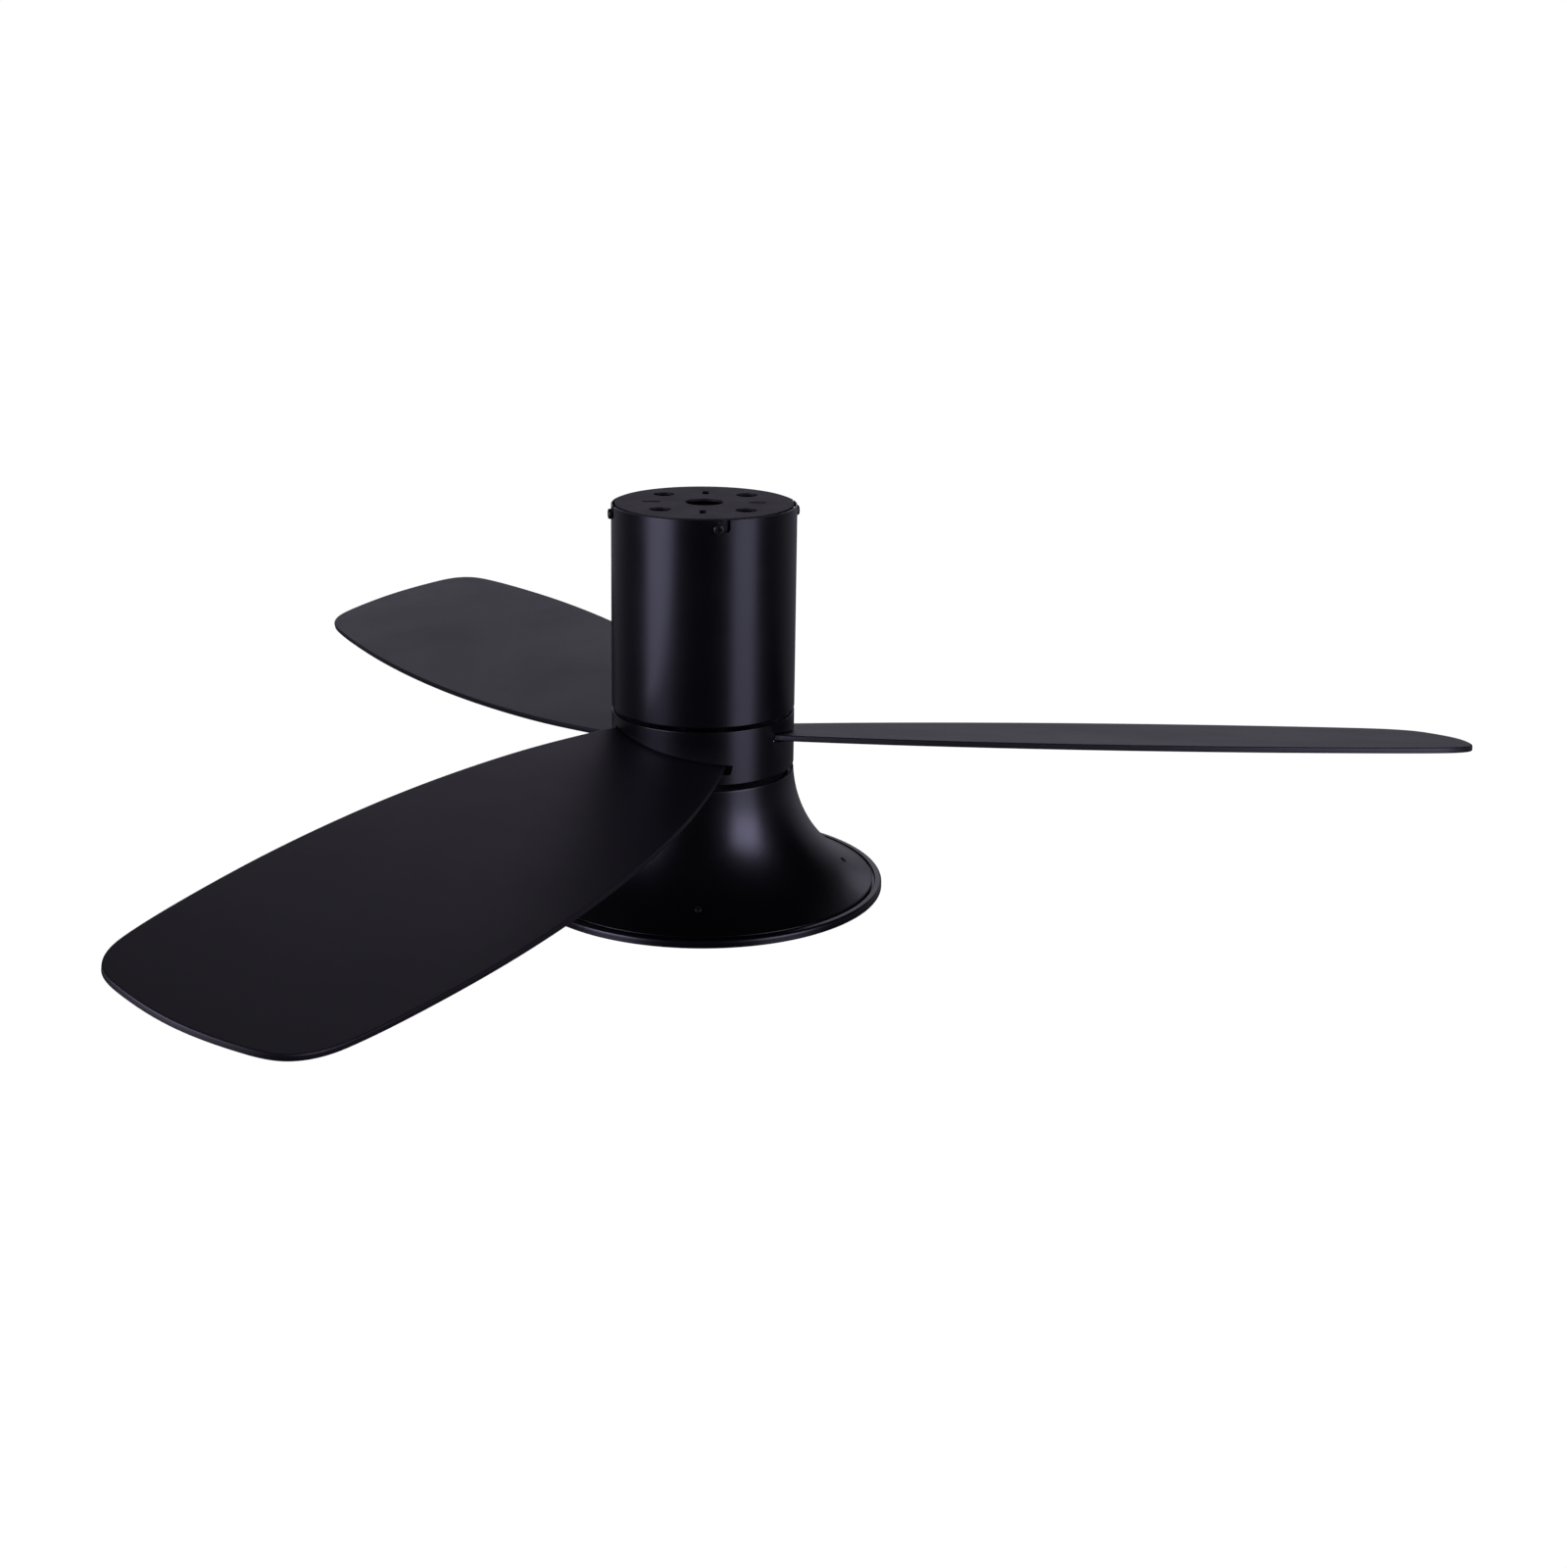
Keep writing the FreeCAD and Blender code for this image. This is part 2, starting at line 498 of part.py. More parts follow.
def light_pan():
    """Die-cast pan: raised floor with four screw bosses, channel under the shade, and the outer rim."""
    wall = PAN_R - PAN_WALL
    edge = 2.4
    profile = [(0, PAN_FLOOR), (PAN_R, PAN_FLOOR), (PAN_R, CHANNEL_TOP), (RIM_INNER_R, CHANNEL_TOP),
               (RIM_INNER_R, RIM_TOP + 0.4), (RIM_INNER_R + 0.4, RIM_TOP), (RIM_R - edge, RIM_TOP)]
    rest = [(RIM_R, RIM_TOP - edge), (RIM_R, RIM_BOTTOM + 0.8), (RIM_R - 0.8, RIM_BOTTOM),
            (RIM_INNER_R, RIM_BOTTOM), (RIM_INNER_R, CHANNEL_BOTTOM), (wall, CHANNEL_BOTTOM),
            (wall, PAN_FLOOR - PAN_WALL), (0, PAN_FLOOR - PAN_WALL)]
    slant = edge * (1 - sqrt(0.5))
    corner = Part.Arc(V(profile[-1][0], 0, profile[-1][1]), V(RIM_R - slant, 0, RIM_TOP - slant),
                      V(rest[0][0], 0, rest[0][1])).toShape()
    lines = [line(a, b) for a, b in zip(profile, profile[1:])]
    lines += [line(a, b) for a, b in zip(rest, rest[1:])] + [line(rest[-1], profile[0])]
    body = turned_edges(lines + [corner])
    boss = block(111, 130, -6.5, 6.5, PAN_FLOOR - 0.5, PAN_FLOOR + 16).common(inside_shade(GAP))
    seat, normal = shade_screw_frame()
    thread = placed(cylinder(1.5 + GAP, -10, 2), seat, normal)
    lug_floor = LUG_TOP - LUG_THICKNESS
    hook = ring(wall - 1.6, wall + 0.5, CHANNEL_BOTTOM, lug_floor - 0.2).common(wedge(LUG_ANGLE, -340, -310))
    stop = ring(wall - 1.5, wall + 0.5, lug_floor - 1, PAN_FLOOR - 1).common(wedge(4, -340, -310))
    stops = around(stop, LUG_COUNT, 30 + LUG_ANGLE / 2 + 2.5)
    body = fuse(body, *around(boss, 4), *around(hook, LUG_COUNT, 30), *stops)
    lead_hole = cylinder(3, PAN_FLOOR - 3, PAN_FLOOR + 1, *LED_LEAD_SPOT)
    driver = [cylinder(1.5 + GAP, PAN_FLOOR - 3, PAN_FLOOR + 1, x, y) for x, y in DRIVER_SCREW_SPOTS]
    board = around(cylinder(1.5 + GAP, PAN_FLOOR - 3, PAN_FLOOR + 1, 75), 6, 15)
    return body.cut(group(around(thread, 4) + [lead_hole] + driver + board))


def led_driver():
    body = fuse(block(-45, 45, 28, 68, PAN_FLOOR, PAN_FLOOR + 22),
                block(-55, 55, 42, 54, PAN_FLOOR, PAN_FLOOR + 2.5))
    upright = [e for e in body.Edges if len(e.Vertexes) == 2
               and abs(e.Vertexes[0].Z - e.Vertexes[1].Z) > 15]
    body = body.makeFillet(2.0, upright)
    holes = [cylinder(1.5 + GAP, PAN_FLOOR - 1, PAN_FLOOR + 4, x, y) for x, y in DRIVER_SCREW_SPOTS]
    sockets = [placed(cylinder(r, -3, 3), V(x, 28, z), Y_AXIS)
               for x, z, r in ((2.4, -314, 2.0), (6, -319, 1.3))]
    return body.cut(group(holes + sockets))


def driver_screws():
    screw = pan_screw(1.5, 4.0, 2.9, 2.0)
    return group(placed(screw, V(x, y, PAN_FLOOR + 2.5), Z_AXIS) for x, y in DRIVER_SCREW_SPOTS)


def led_board():
    board = cylinder(121, BOARD_TOP - 1.6, BOARD_TOP)
    cuts = around(cylinder(1.5 + GAP, BOARD_TOP - 3, BOARD_TOP + 1, 75), 6, 15)
    return board.cut(group(cuts + [cylinder(3, BOARD_TOP - 3, BOARD_TOP + 1, *LED_LEAD_SPOT)]))


def board_screws():
    screw = pan_screw(1.5, 3.0, 2.9, 1.4)
    return group(around(placed(screw, V(75, 0, BOARD_TOP - 1.62), V(0, 0, -1)), 6, 15))


def led_chips():
    chips = []
    for r, count in LED_CIRCLES:
        chip = block(r - 1.75, r + 1.75, -1.4, 1.4, BOARD_TOP - 2.4, BOARD_TOP - 1.6)
        chips += around(chip, count)
    return group(chips)


def light_cable():
    """From the receiver, down the shaft's bore, to the LED driver."""
    route = [(2.4, 27, -72), (2.4, 0, -72), (2.4, 0, -314), (2.4, 29.5, -314)]
    return tube_along(route, 1.9, 11)


def motor_cable():
    """From the receiver, down the shaft's bore, and out of its window to the windings."""
    down = tube_along([(-2.4, 27, -80), (-2.4, 0, -80), (-2.4, 0, -112)], 1.4, 9)
    out = tube_along([(-2.4, 0, -112), (-2.4, 0, CABLE_Z_MOTOR), (-31, 0, CABLE_Z_MOTOR)], 1.4, 4)
    return fuse(down, out)


def led_leads():
    x, y = LED_LEAD_SPOT
    return tube_along([(x, 29.5, -319), (x, y, -319), (x, y, BOARD_TOP - 1.2)], 1.2, 4)


# ---------------------------------------------------------------- rotor

def rotor_ears(low, high, r):
    return around(cylinder(r, low, high, ROTOR_SCREW_R), 6, 30)


def rotor_top_cover():
    boss, wall = BEARING_R + 4, YOKE_R + 0.2
    disc = ROTOR_TOP - ROTOR_SKIN
    body = turned([(16, ROTOR_TOP), (ROTOR_R - 3, ROTOR_TOP), (ROTOR_R, ROTOR_TOP - 3),
                   (ROTOR_R, ROTOR_SPLIT), (wall, ROTOR_SPLIT), (wall, disc), (boss, disc), (boss, UPPER_BEARING - 1),
                   (BEARING_R + GAP, UPPER_BEARING - 1), (BEARING_R + GAP, ROTOR_TOP - 2 + GAP),
                   (16, ROTOR_TOP - 2 + GAP)])
    ears = [e.cut(cylinder(wall, -200, 0)) for e in rotor_ears(ROTOR_SPLIT, ROTOR_SPLIT + 9, EAR_R)]
    return fuse(body, *ears).cut(group(rotor_ears(ROTOR_SPLIT - 1, ROTOR_SPLIT + 10, 1.5 + GAP)
                                       + around(cylinder(5, -140, -100, 44), 6)))


def rotor_bottom_cover():
    boss, wall = BEARING_R + 4, YOKE_R + 0.2
    disc = ROTOR_BOTTOM + ROTOR_SKIN
    body = turned([(16, ROTOR_BOTTOM), (ROTOR_R - 3, ROTOR_BOTTOM), (ROTOR_R, ROTOR_BOTTOM + 3),
                   (ROTOR_R, ROTOR_SPLIT), (wall, ROTOR_SPLIT), (wall, disc), (boss, disc),
                   (boss, LOWER_BEARING + BEARING_WIDTH + 1),
                   (BEARING_R + GAP, LOWER_BEARING + BEARING_WIDTH + 1),
                   (BEARING_R + GAP, ROTOR_BOTTOM + 2 - GAP), (16, ROTOR_BOTTOM + 2 - GAP)])
    ears = [e.cut(cylinder(wall, -200, 0)) for e in rotor_ears(ROTOR_SPLIT - 9, ROTOR_SPLIT, EAR_R)]
    posts = around(cylinder(5, disc - 1, disc + 3.5, HUB_SCREW_R), 6)
    return fuse(body, *ears, *posts).cut(group(rotor_ears(ROTOR_SPLIT - 10, ROTOR_SPLIT + 1, 1.5 + GAP)
                                               + around(cylinder(2.5 + GAP, -180, -160, HUB_SCREW_R), 6)))


def rotor_screws():
    screw = placed(pan_screw(1.5, 15.0, 3.0, 2.0), V(ROTOR_SCREW_R, 0, ROTOR_SPLIT + 9 + 0.02), Z_AXIS)
    return group(around(screw, 6, 30))


def rotor_yoke():
    return ring(MAGNET_R1 + GAP, YOKE_R + 0.15, STATOR_BOTTOM - 5, STATOR_TOP + 5)


def rotor_magnets():
    magnet = ring(MAGNET_R0, MAGNET_R1, STATOR_BOTTOM - 2, STATOR_TOP + 2)
    piece = magnet.common(wedge(360.0 / MAGNET_COUNT - 2, STATOR_BOTTOM - 5, STATOR_TOP + 5))
    return group(around(piece, MAGNET_COUNT))


def blade_hub():
    """Cast ring that shows between canopy and shade: recessed deck, slanted slots, pads for the blades."""
    inner, under = BODY_R - HUB_WALL, HUB_DECK - HUB_WALL
    skin = turned([(13, HUB_DECK), (30, HUB_DECK), (30, ROTOR_BOTTOM), (40, ROTOR_BOTTOM), (40, HUB_DECK),
                   (inner, HUB_DECK), (inner, HUB_TOP - 0.5), (inner + 0.5, HUB_TOP), (BODY_R - 1, HUB_TOP),
                   (BODY_R, HUB_TOP - 1), (BODY_R, HUB_BOTTOM + 1), (BODY_R - 1, HUB_BOTTOM),
                   (inner, HUB_BOTTOM), (inner, under), (13, under)])
    half = BLADE_THICKNESS / 2
    room = cylinder(inner + 1, HUB_BOTTOM, under + 1)
    pads = [in_blade(block(40, 74, -46, 46, half, 60), i).common(room) for i in range(BLADE_COUNT)]
    body = fuse(skin, *pads)
    slot = block(45, 110, *SLOT_SIDES, -SLOT_HEIGHT / 2, SLOT_HEIGHT / 2)
    upright = [e for e in slot.Edges if abs(e.Vertexes[0].X - e.Vertexes[1].X) > 5]
    slot = slot.makeFillet(1.2, upright)
    lower_room = block(20, inner - 1, -60, 60, -60, half)
    shell = ring(inner - 0.5, 200, -300, 0)
    cuts = around(cylinder(2.5 + GAP, -190, -170, HUB_SCREW_R), 6)
    for i in range(BLADE_COUNT):
        cuts.append(in_blade(slot, i).common(shell))
        cuts.append(in_blade(lower_room, i).common(cylinder(inner, HUB_BOTTOM, under)))
        cuts += [in_blade(cylinder(2 + GAP, -10, 9, x, y), i) for x, y in BLADE_SCREW_SPOTS]
    return body.cut(group(cuts))


def hub_screws():
    seat = HUB_DECK - HUB_WALL - 0.02
    screw = placed(hex_screw(2.5, 15.0, 8.0, 3.5), V(HUB_SCREW_R, 0, seat), V(0, 0, -1))
    return group(around(screw, 6))


def blade(index):
    """Flat, pitched and slightly drooping blade with a rounded tip and softened edges."""
    side = [V(u, w, 0) for u, w in BLADE_HALF_OUTLINE]
    other = [V(p.x, -p.y, 0) for p in reversed(side[:-1])]
    curve = Part.BSplineCurve()
    curve.interpolate(side + other)
    outline = Part.Wire([curve.toShape(), Part.LineSegment(other[-1], side[0]).toShape()])
    plate = Part.Face(outline).extrude(V(0, 0, BLADE_THICKNESS))
    plate.translate(V(0, 0, -BLADE_THICKNESS / 2))
    rims = [e for e in plate.Edges if abs(abs(e.CenterOfMass.z) - BLADE_THICKNESS / 2) < 0.01
            and e.Length > 500]
    plate = plate.makeFillet(1.1, rims)
    holes = [cylinder(2 + GAP, -9, 9, x, y) for x, y in BLADE_SCREW_SPOTS]
    return in_blade(plate.cut(group(holes)), index)


def blade_clamps():
    low = -BLADE_THICKNESS / 2 - 3
    plate = block(40, 61, -38, 38, low, low + 3)
    plate = plate.makeFillet(4.0, [e for e in plate.Edges if abs(e.Vertexes[0].Z - e.Vertexes[1].Z) > 2])
    holes = [cylinder(2 + GAP, -9, 9, x, y) for x, y in BLADE_SCREW_SPOTS]
    return group(in_blade(plate.cut(group(holes)), i) for i in range(BLADE_COUNT))


def blade_screws():
    seat = -BLADE_THICKNESS / 2 - 3.02
    screws = []
    for i in range(BLADE_COUNT):
        for x, y in BLADE_SCREW_SPOTS:
            screws.append(in_blade(placed(pan_screw(2.0, 12.5, 3.6, 2.4), V(x, y, seat), V(0, 0, -1)), i))
    return group(screws)


# ---------------------------------------------------------------- diffuser

def diffuser():
    """Shallow opal dome with a neck and three bayonet lugs; it turns off anticlockwise from below."""
    depth = DIFFUSER_TOP - 1.8 - DIFFUSER_BOTTOM
    dome_r = (DIFFUSER_R ** 2 + depth ** 2) / (2 * depth)
    inner_r = dome_r - DIFFUSER_WALL
    centre = DIFFUSER_BOTTOM + dome_r
    neck, neck_inner = PAN_R - PAN_WALL - 2.0, PAN_R - PAN_WALL - 4.0

    def sphere_spot(r, radius):
        return V(r, 0, centre - sqrt(radius ** 2 - r ** 2))

    outer = Part.Arc(sphere_spot(DIFFUSER_R, dome_r), sphere_spot(DIFFUSER_R / 2, dome_r),
                     sphere_spot(0, dome_r)).toShape()
    inner = Part.Arc(sphere_spot(0, inner_r), sphere_spot(neck_inner / 2, inner_r),
                     sphere_spot(neck_inner, inner_r)).toShape()
    start, turn = sphere_spot(DIFFUSER_R, dome_r), sphere_spot(neck_inner, inner_r)
    corners = [(turn.x, turn.z), (neck_inner, LUG_TOP), (neck, LUG_TOP), (neck, DIFFUSER_TOP),
               (DIFFUSER_R, DIFFUSER_TOP), (start.x, start.z)]
    edges = [outer, line((0, DIFFUSER_BOTTOM), (0, DIFFUSER_BOTTOM + DIFFUSER_WALL)), inner]
    edges += [line(a, b) for a, b in zip(corners, corners[1:])]
    lug = ring(neck - 0.5, neck + 1.7, LUG_TOP - LUG_THICKNESS, LUG_TOP).common(wedge(LUG_ANGLE, -340, -310))
    return fuse(turned_edges(edges), *around(lug, LUG_COUNT, 30))


NODES = {
    "mounting_plate": mounting_plate, "canopy_screws": canopy_screws, "canopy": canopy,
    "motor_deck": motor_deck, "receiver_box": receiver_box, "receiver_lid": receiver_lid,
    "receiver_board": receiver_board, "receiver_parts": receiver_parts, "wiring_screws": wiring_screws,
    "terminal_block": terminal_block, "terminal_screws": terminal_screws, "earth_screw": earth_screw,
    "supply_leads": supply_leads, "shaft_flange": shaft_flange, "flange_screws": flange_screws,
    "grub_screws": grub_screws, "motor_shaft": motor_shaft, "retaining_rings": retaining_rings,
    "stator_hub": stator_hub, "stator_core": stator_core, "stator_insulators": stator_insulators,
    "stator_windings": stator_windings,
    "bearing_inner_races": lambda: half_bearings(SHAFT_R + 0.02, INNER_RACE_R),
    "bearing_outer_races": lambda: half_bearings(OUTER_RACE_R, BEARING_R),
    "bearing_shields": bearing_shields, "bearing_balls": bearing_balls, "bearing_cages": bearing_cages,
    "light_bracket": light_bracket, "shaft_washer": shaft_washer, "shaft_nut": shaft_nut,
    "cable_grommet": cable_grommet, "light_shade": light_shade, "bracket_screws": bracket_screws,
    "shade_screws": shade_screws, "light_pan": light_pan, "led_driver": led_driver,
    "driver_screws": driver_screws, "led_board": led_board, "board_screws": board_screws,
    "led_chips": led_chips, "light_cable": light_cable, "motor_cable": motor_cable, "led_leads": led_leads,
    "rotor_top_cover": rotor_top_cover, "rotor_bottom_cover": rotor_bottom_cover,
    "rotor_screws": rotor_screws, "rotor_yoke": rotor_yoke, "rotor_magnets": rotor_magnets,
    "blade_hub": blade_hub, "hub_screws": hub_screws, "blade_clamps": blade_clamps,
    "blade_screws": blade_screws, "diffuser": diffuser,
}
for number in range(BLADE_COUNT):
    NODES["blade_%d" % (number + 1)] = lambda number=number: blade(number)

os.makedirs("parts", exist_ok=True)
for name, build in NODES.items():
    build().exportStep("parts/%s.step" % name)
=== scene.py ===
import json
from math import asin, cos, pi, radians, sin, sqrt, tan

import bmesh
import bpy
import numpy as np
from mathutils import Matrix, Vector


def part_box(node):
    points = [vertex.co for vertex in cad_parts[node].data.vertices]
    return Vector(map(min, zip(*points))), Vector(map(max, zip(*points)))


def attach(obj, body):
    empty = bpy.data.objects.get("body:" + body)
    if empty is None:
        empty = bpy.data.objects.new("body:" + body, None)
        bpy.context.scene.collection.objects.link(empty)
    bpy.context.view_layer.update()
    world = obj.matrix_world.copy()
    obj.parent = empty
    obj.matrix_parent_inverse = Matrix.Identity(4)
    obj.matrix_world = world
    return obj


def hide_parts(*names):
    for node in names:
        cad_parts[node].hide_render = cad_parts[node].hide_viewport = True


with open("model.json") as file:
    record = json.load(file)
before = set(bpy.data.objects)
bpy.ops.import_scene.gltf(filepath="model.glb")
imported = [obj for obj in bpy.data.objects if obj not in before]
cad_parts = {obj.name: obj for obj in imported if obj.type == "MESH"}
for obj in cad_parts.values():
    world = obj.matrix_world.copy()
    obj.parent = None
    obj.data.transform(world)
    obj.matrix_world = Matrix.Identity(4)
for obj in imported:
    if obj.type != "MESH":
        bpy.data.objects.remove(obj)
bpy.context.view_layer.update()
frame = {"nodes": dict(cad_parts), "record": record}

NODES = frame["nodes"]
MM = 0.001

# ---------------------------------------------------------------- sizes, all from the frame or shared with the CAD

canopy_low, canopy_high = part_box("canopy")
hub_low, hub_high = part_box("blade_hub")
shade_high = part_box("light_shade")[1]
pan_low, pan_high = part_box("light_pan")
dome_low, dome_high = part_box("diffuser")

BODY_R = canopy_high.x
CANOPY_WALL = 1.2 * MM
SCREW_Z, SCREW_ANGLE, TWIST, HALF_SLOT = -8.4 * MM, -80.0, 5.3, 2.6 * MM
HUB_TOP, HUB_WALL, HUB_DECK = -178 * MM, 3 * MM, -182 * MM
HUB_BORE_R, BOSS_INNER_R, BOSS_R = 13 * MM, 30 * MM, 40 * MM
PAD_START, PAD_HALF_WIDTH = 40 * MM, 46 * MM

FLARE_R, FLARE_CENTRE_R, FLARE_CENTRE_Z = 113 * MM, 190.8 * MM, -223.7 * MM
SHADE_BOTTOM, SHADE_WALL = -328.2 * MM, 1.5 * MM
FLANGE_INNER_R, FLANGE_TOP, FLANGE_THICKNESS = 40 * MM, -232.5 * MM, 1.8 * MM
RIM_R, RIM_INNER_R, RIM_TOP = pan_high.x, 150.2 * MM, -328.4 * MM
PAN_R, PAN_WALL, PAN_FLOOR = 131.5 * MM, 1.5 * MM, -324.5 * MM
CHANNEL_TOP, CHANNEL_BOTTOM = -331.3 * MM, -332.8 * MM
DOME_R, DOME_TOP, DOME_WALL, DOME_EDGE = dome_high.x, -333.1 * MM, 2.2 * MM, 1.8 * MM
LUG_TOP, LUG_THICKNESS, LUG_COUNT, LUG_ANGLE = -330.2 * MM, 1.2 * MM, 3, 14.0

BLADES, FIRST_BLADE, BLADE_Z = 3, 3.2, -199.5 * MM
PITCH, DROOP, THICKNESS, BLADE_EDGE = 11.1, 1.0, 5 * MM, 1.1 * MM
HALF_OUTLINE = ((38, 44), (56, 51.5), (100, 65), (150, 77), (210, 87.5), (290, 96.8), (380, 101.4),
                (460, 101), (540, 96.4), (598, 90.2), (626, 83.2), (644, 70), (654, 45), (659.7, 0))
SLOT_SIDES, SLOT_HEIGHT, SLOT_REACH = (-53.5 * MM, 57.5 * MM), 8.3 * MM, (45 * MM, 110 * MM)

TONE = (0.88, 0.84, 1.0)      # the studio's light is a little violet
SEGMENTS = 288                # faces round a turned piece
ARC_STEPS = 6                 # faces along a fillet
SUPPORT = 0.25 * MM           # distance from a fillet to the extra line that keeps its shading local
FLOOR_Z, FLOOR_REACH = -2.7, 60
WHITE = 1.02                  # what the camera sees of the world and floor

scene = bpy.context.scene
scene.view_settings.view_transform = "Standard"


# ---------------------------------------------------------------- camera and studio

def studio_camera():
    data = bpy.data.cameras.new("camera")
    data.sensor_width, data.lens = 36.0, 49.53
    data.shift_x, data.shift_y = 0.01735, -0.11098
    data.clip_end = 200
    camera = bpy.data.objects.new("camera", data)
    scene.collection.objects.link(camera)
    turn = Matrix.Rotation(radians(90 - 13.22), 4, "X") @ Matrix.Rotation(radians(0.66), 4, "Z")
    camera.matrix_world = Matrix.Translation((0.04454, -1.77675, 0.3251)) @ turn
    scene.camera = camera


# Each side has a tall dim panel behind a shorter bright one, so its reflection fades downwards.
# name, place, height of the axis point that it faces, width, height, watts
PANELS = (
    ("panel_left_tall", (-2.13, -1.55, 0.0), -0.15, 1.6, 2.6, 32),
    ("panel_left_core", (-2.1, -1.53, 0.6), -0.15, 1.6, 1.1, 28),
    ("panel_right_tall", (2.08, -1.62, 0.0), -0.15, 1.45, 2.6, 22),
    ("panel_right_core", (2.05, -1.6, 0.6), -0.15, 1.45, 1.1, 18),
    ("panel_back", (0.1, 3.0, 0.95), -0.2, 3.4, 0.9, 8.4),
)


def soft_panel(name, at, target, width, height, watts):
    data = bpy.data.lights.new(name, "AREA")
    data.shape, data.size, data.size_y = "RECTANGLE", width, height
    data.energy, data.color = watts, TONE
    light = bpy.data.objects.new(name, data)
    light.location = at
    light.rotation_euler = (Vector(target) - Vector(at)).to_track_quat("-Z", "Y").to_euler()
    light.visible_camera = False
    scene.collection.objects.link(light)
    return light


def studio():
    """White world and floor for the camera; a dim room with soft panels for everything that reflects it."""
    world = bpy.data.worlds.new("studio")
    scene.world = world
    world.use_nodes = True
    tree = world.node_tree
    tree.nodes.clear()
    out, mix = tree.nodes.new("ShaderNodeOutputWorld"), tree.nodes.new("ShaderNodeMixShader")
    seen, room = tree.nodes.new("ShaderNodeBackground"), tree.nodes.new("ShaderNodeBackground")
    seen.inputs["Color"].default_value, seen.inputs["Strength"].default_value = (1, 1, 1, 1), WHITE
    room.inputs["Color"].default_value = (*TONE, 1)
    where, parts = tree.nodes.new("ShaderNodeTexCoord"), tree.nodes.new("ShaderNodeSeparateXYZ")
    tree.links.new(where.outputs["Generated"], parts.inputs[0])
    # brightest straight behind the fan and a little below level, dim in front and above
    strength = None
    for axis, low, high, dim, bright in (("Y", -0.3, 0.95, 0.1, 1.0), ("Z", 0.45, -0.05, 0.03, 0.28),
                                         ("Z", -0.33, -0.12, 0.3, 1.0)):
        ramp = tree.nodes.new("ShaderNodeMapRange")
        ramp.interpolation_type = "SMOOTHSTEP"
        for key, value in (("From Min", low), ("From Max", high), ("To Min", dim), ("To Max", bright)):
            ramp.inputs[key].default_value = value
        tree.links.new(parts.outputs[axis], ramp.inputs["Value"])
        if strength is None:
            strength = ramp.outputs["Result"]
            continue
        product = tree.nodes.new("ShaderNodeMath")
        product.operation = "MULTIPLY"
        tree.links.new(strength, product.inputs[0])
        tree.links.new(ramp.outputs["Result"], product.inputs[1])
        strength = product.outputs[0]
    tree.links.new(strength, room.inputs["Strength"])
    path = tree.nodes.new("ShaderNodeLightPath")
    tree.links.new(path.outputs["Is Camera Ray"], mix.inputs[0])
    tree.links.new(room.outputs[0], mix.inputs[1])
    tree.links.new(seen.outputs[0], mix.inputs[2])
    tree.links.new(mix.outputs[0], out.inputs["Surface"])

    mesh = bpy.data.meshes.new("floor")
    corners = [(x * FLOOR_REACH, y * FLOOR_REACH, FLOOR_Z) for x, y in ((-1, -1), (1, -1), (1, 1), (-1, 1))]
    mesh.from_pydata(corners, [], [(0, 1, 2, 3)])
    floor = bpy.data.objects.new("floor", mesh)
    scene.collection.objects.link(floor)
    look = bpy.data.materials.new("pale_floor")
    look.use_nodes = True
    tree = look.node_tree
    tree.nodes.clear()
    out, mix = tree.nodes.new("ShaderNodeOutputMaterial"), tree.nodes.new("ShaderNodeMixShader")
    glow, matt = tree.nodes.new("ShaderNodeEmission"), tree.nodes.new("ShaderNodeBsdfDiffuse")
    glow.inputs["Strength"].default_value = WHITE
    matt.inputs["Color"].default_value = (0.8, 0.8, 0.8, 1)
    path = tree.nodes.new("ShaderNodeLightPath")
    tree.links.new(path.outputs["Is Camera Ray"], mix.inputs[0])
    tree.links.new(matt.outputs[0], mix.inputs[1])
    tree.links.new(glow.outputs[0], mix.inputs[2])
    tree.links.new(mix.outputs[0], out.inputs["Surface"])
    mesh.materials.append(look)
    floor.visible_glossy = False

    for name, at, target_z, width, height, watts in PANELS:
        soft_panel(name, at, (0, 0, target_z), width, height, watts)


# ---------------------------------------------------------------- mesh tools

def rounded(corners, closed=True):
    """Outline through (radius, height, fillet) corners, with an arc at each and a support point beside each arc."""
    count, out = len(corners), []
    for i, corner in enumerate(corners):
        p, fillet = Vector(corner[:2]), corner[2] if len(corner) > 2 else 0.0
        if not fillet or (not closed and i in (0, count - 1)):
            out.append(tuple(p))
            continue
        before, after = Vector(corners[i - 1][:2]), Vector(corners[(i + 1) % count][:2])
        a, b = (before - p).normalized(), (after - p).normalized()
        half = a.angle(b) / 2
        reach = fillet / tan(half)
        centre = p + (a + b).normalized() * (fillet / sin(half))
        start, end = p + a * reach - centre, p + b * reach - centre
        swing = start.angle_signed(end)
        if (before - p).length > reach + 3 * SUPPORT:
            out.append(tuple(p + a * (reach + SUPPORT)))
        for k in range(ARC_STEPS + 1):
            t = -swing * k / ARC_STEPS
            out.append((centre.x + start.x * cos(t) - start.y * sin(t),
                        centre.y + start.x * sin(t) + start.y * cos(t)))
        if (after - p).length > reach + 3 * SUPPORT:
            out.append(tuple(p + b * (reach + SUPPORT)))
    return out


def new_piece(name, mesh, body, nodes, look):
    piece = bpy.data.objects.new(name, mesh)
    scene.collection.objects.link(piece)
    mesh.materials.clear()
    mesh.materials.append(look)
    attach(piece, body)
    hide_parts(*nodes)
    return piece


def smooth(mesh, angle=32):
    mesh.polygons.foreach_set("use_smooth", [True] * len(mesh.polygons))
    mesh.set_sharp_from_angle(angle=radians(angle))


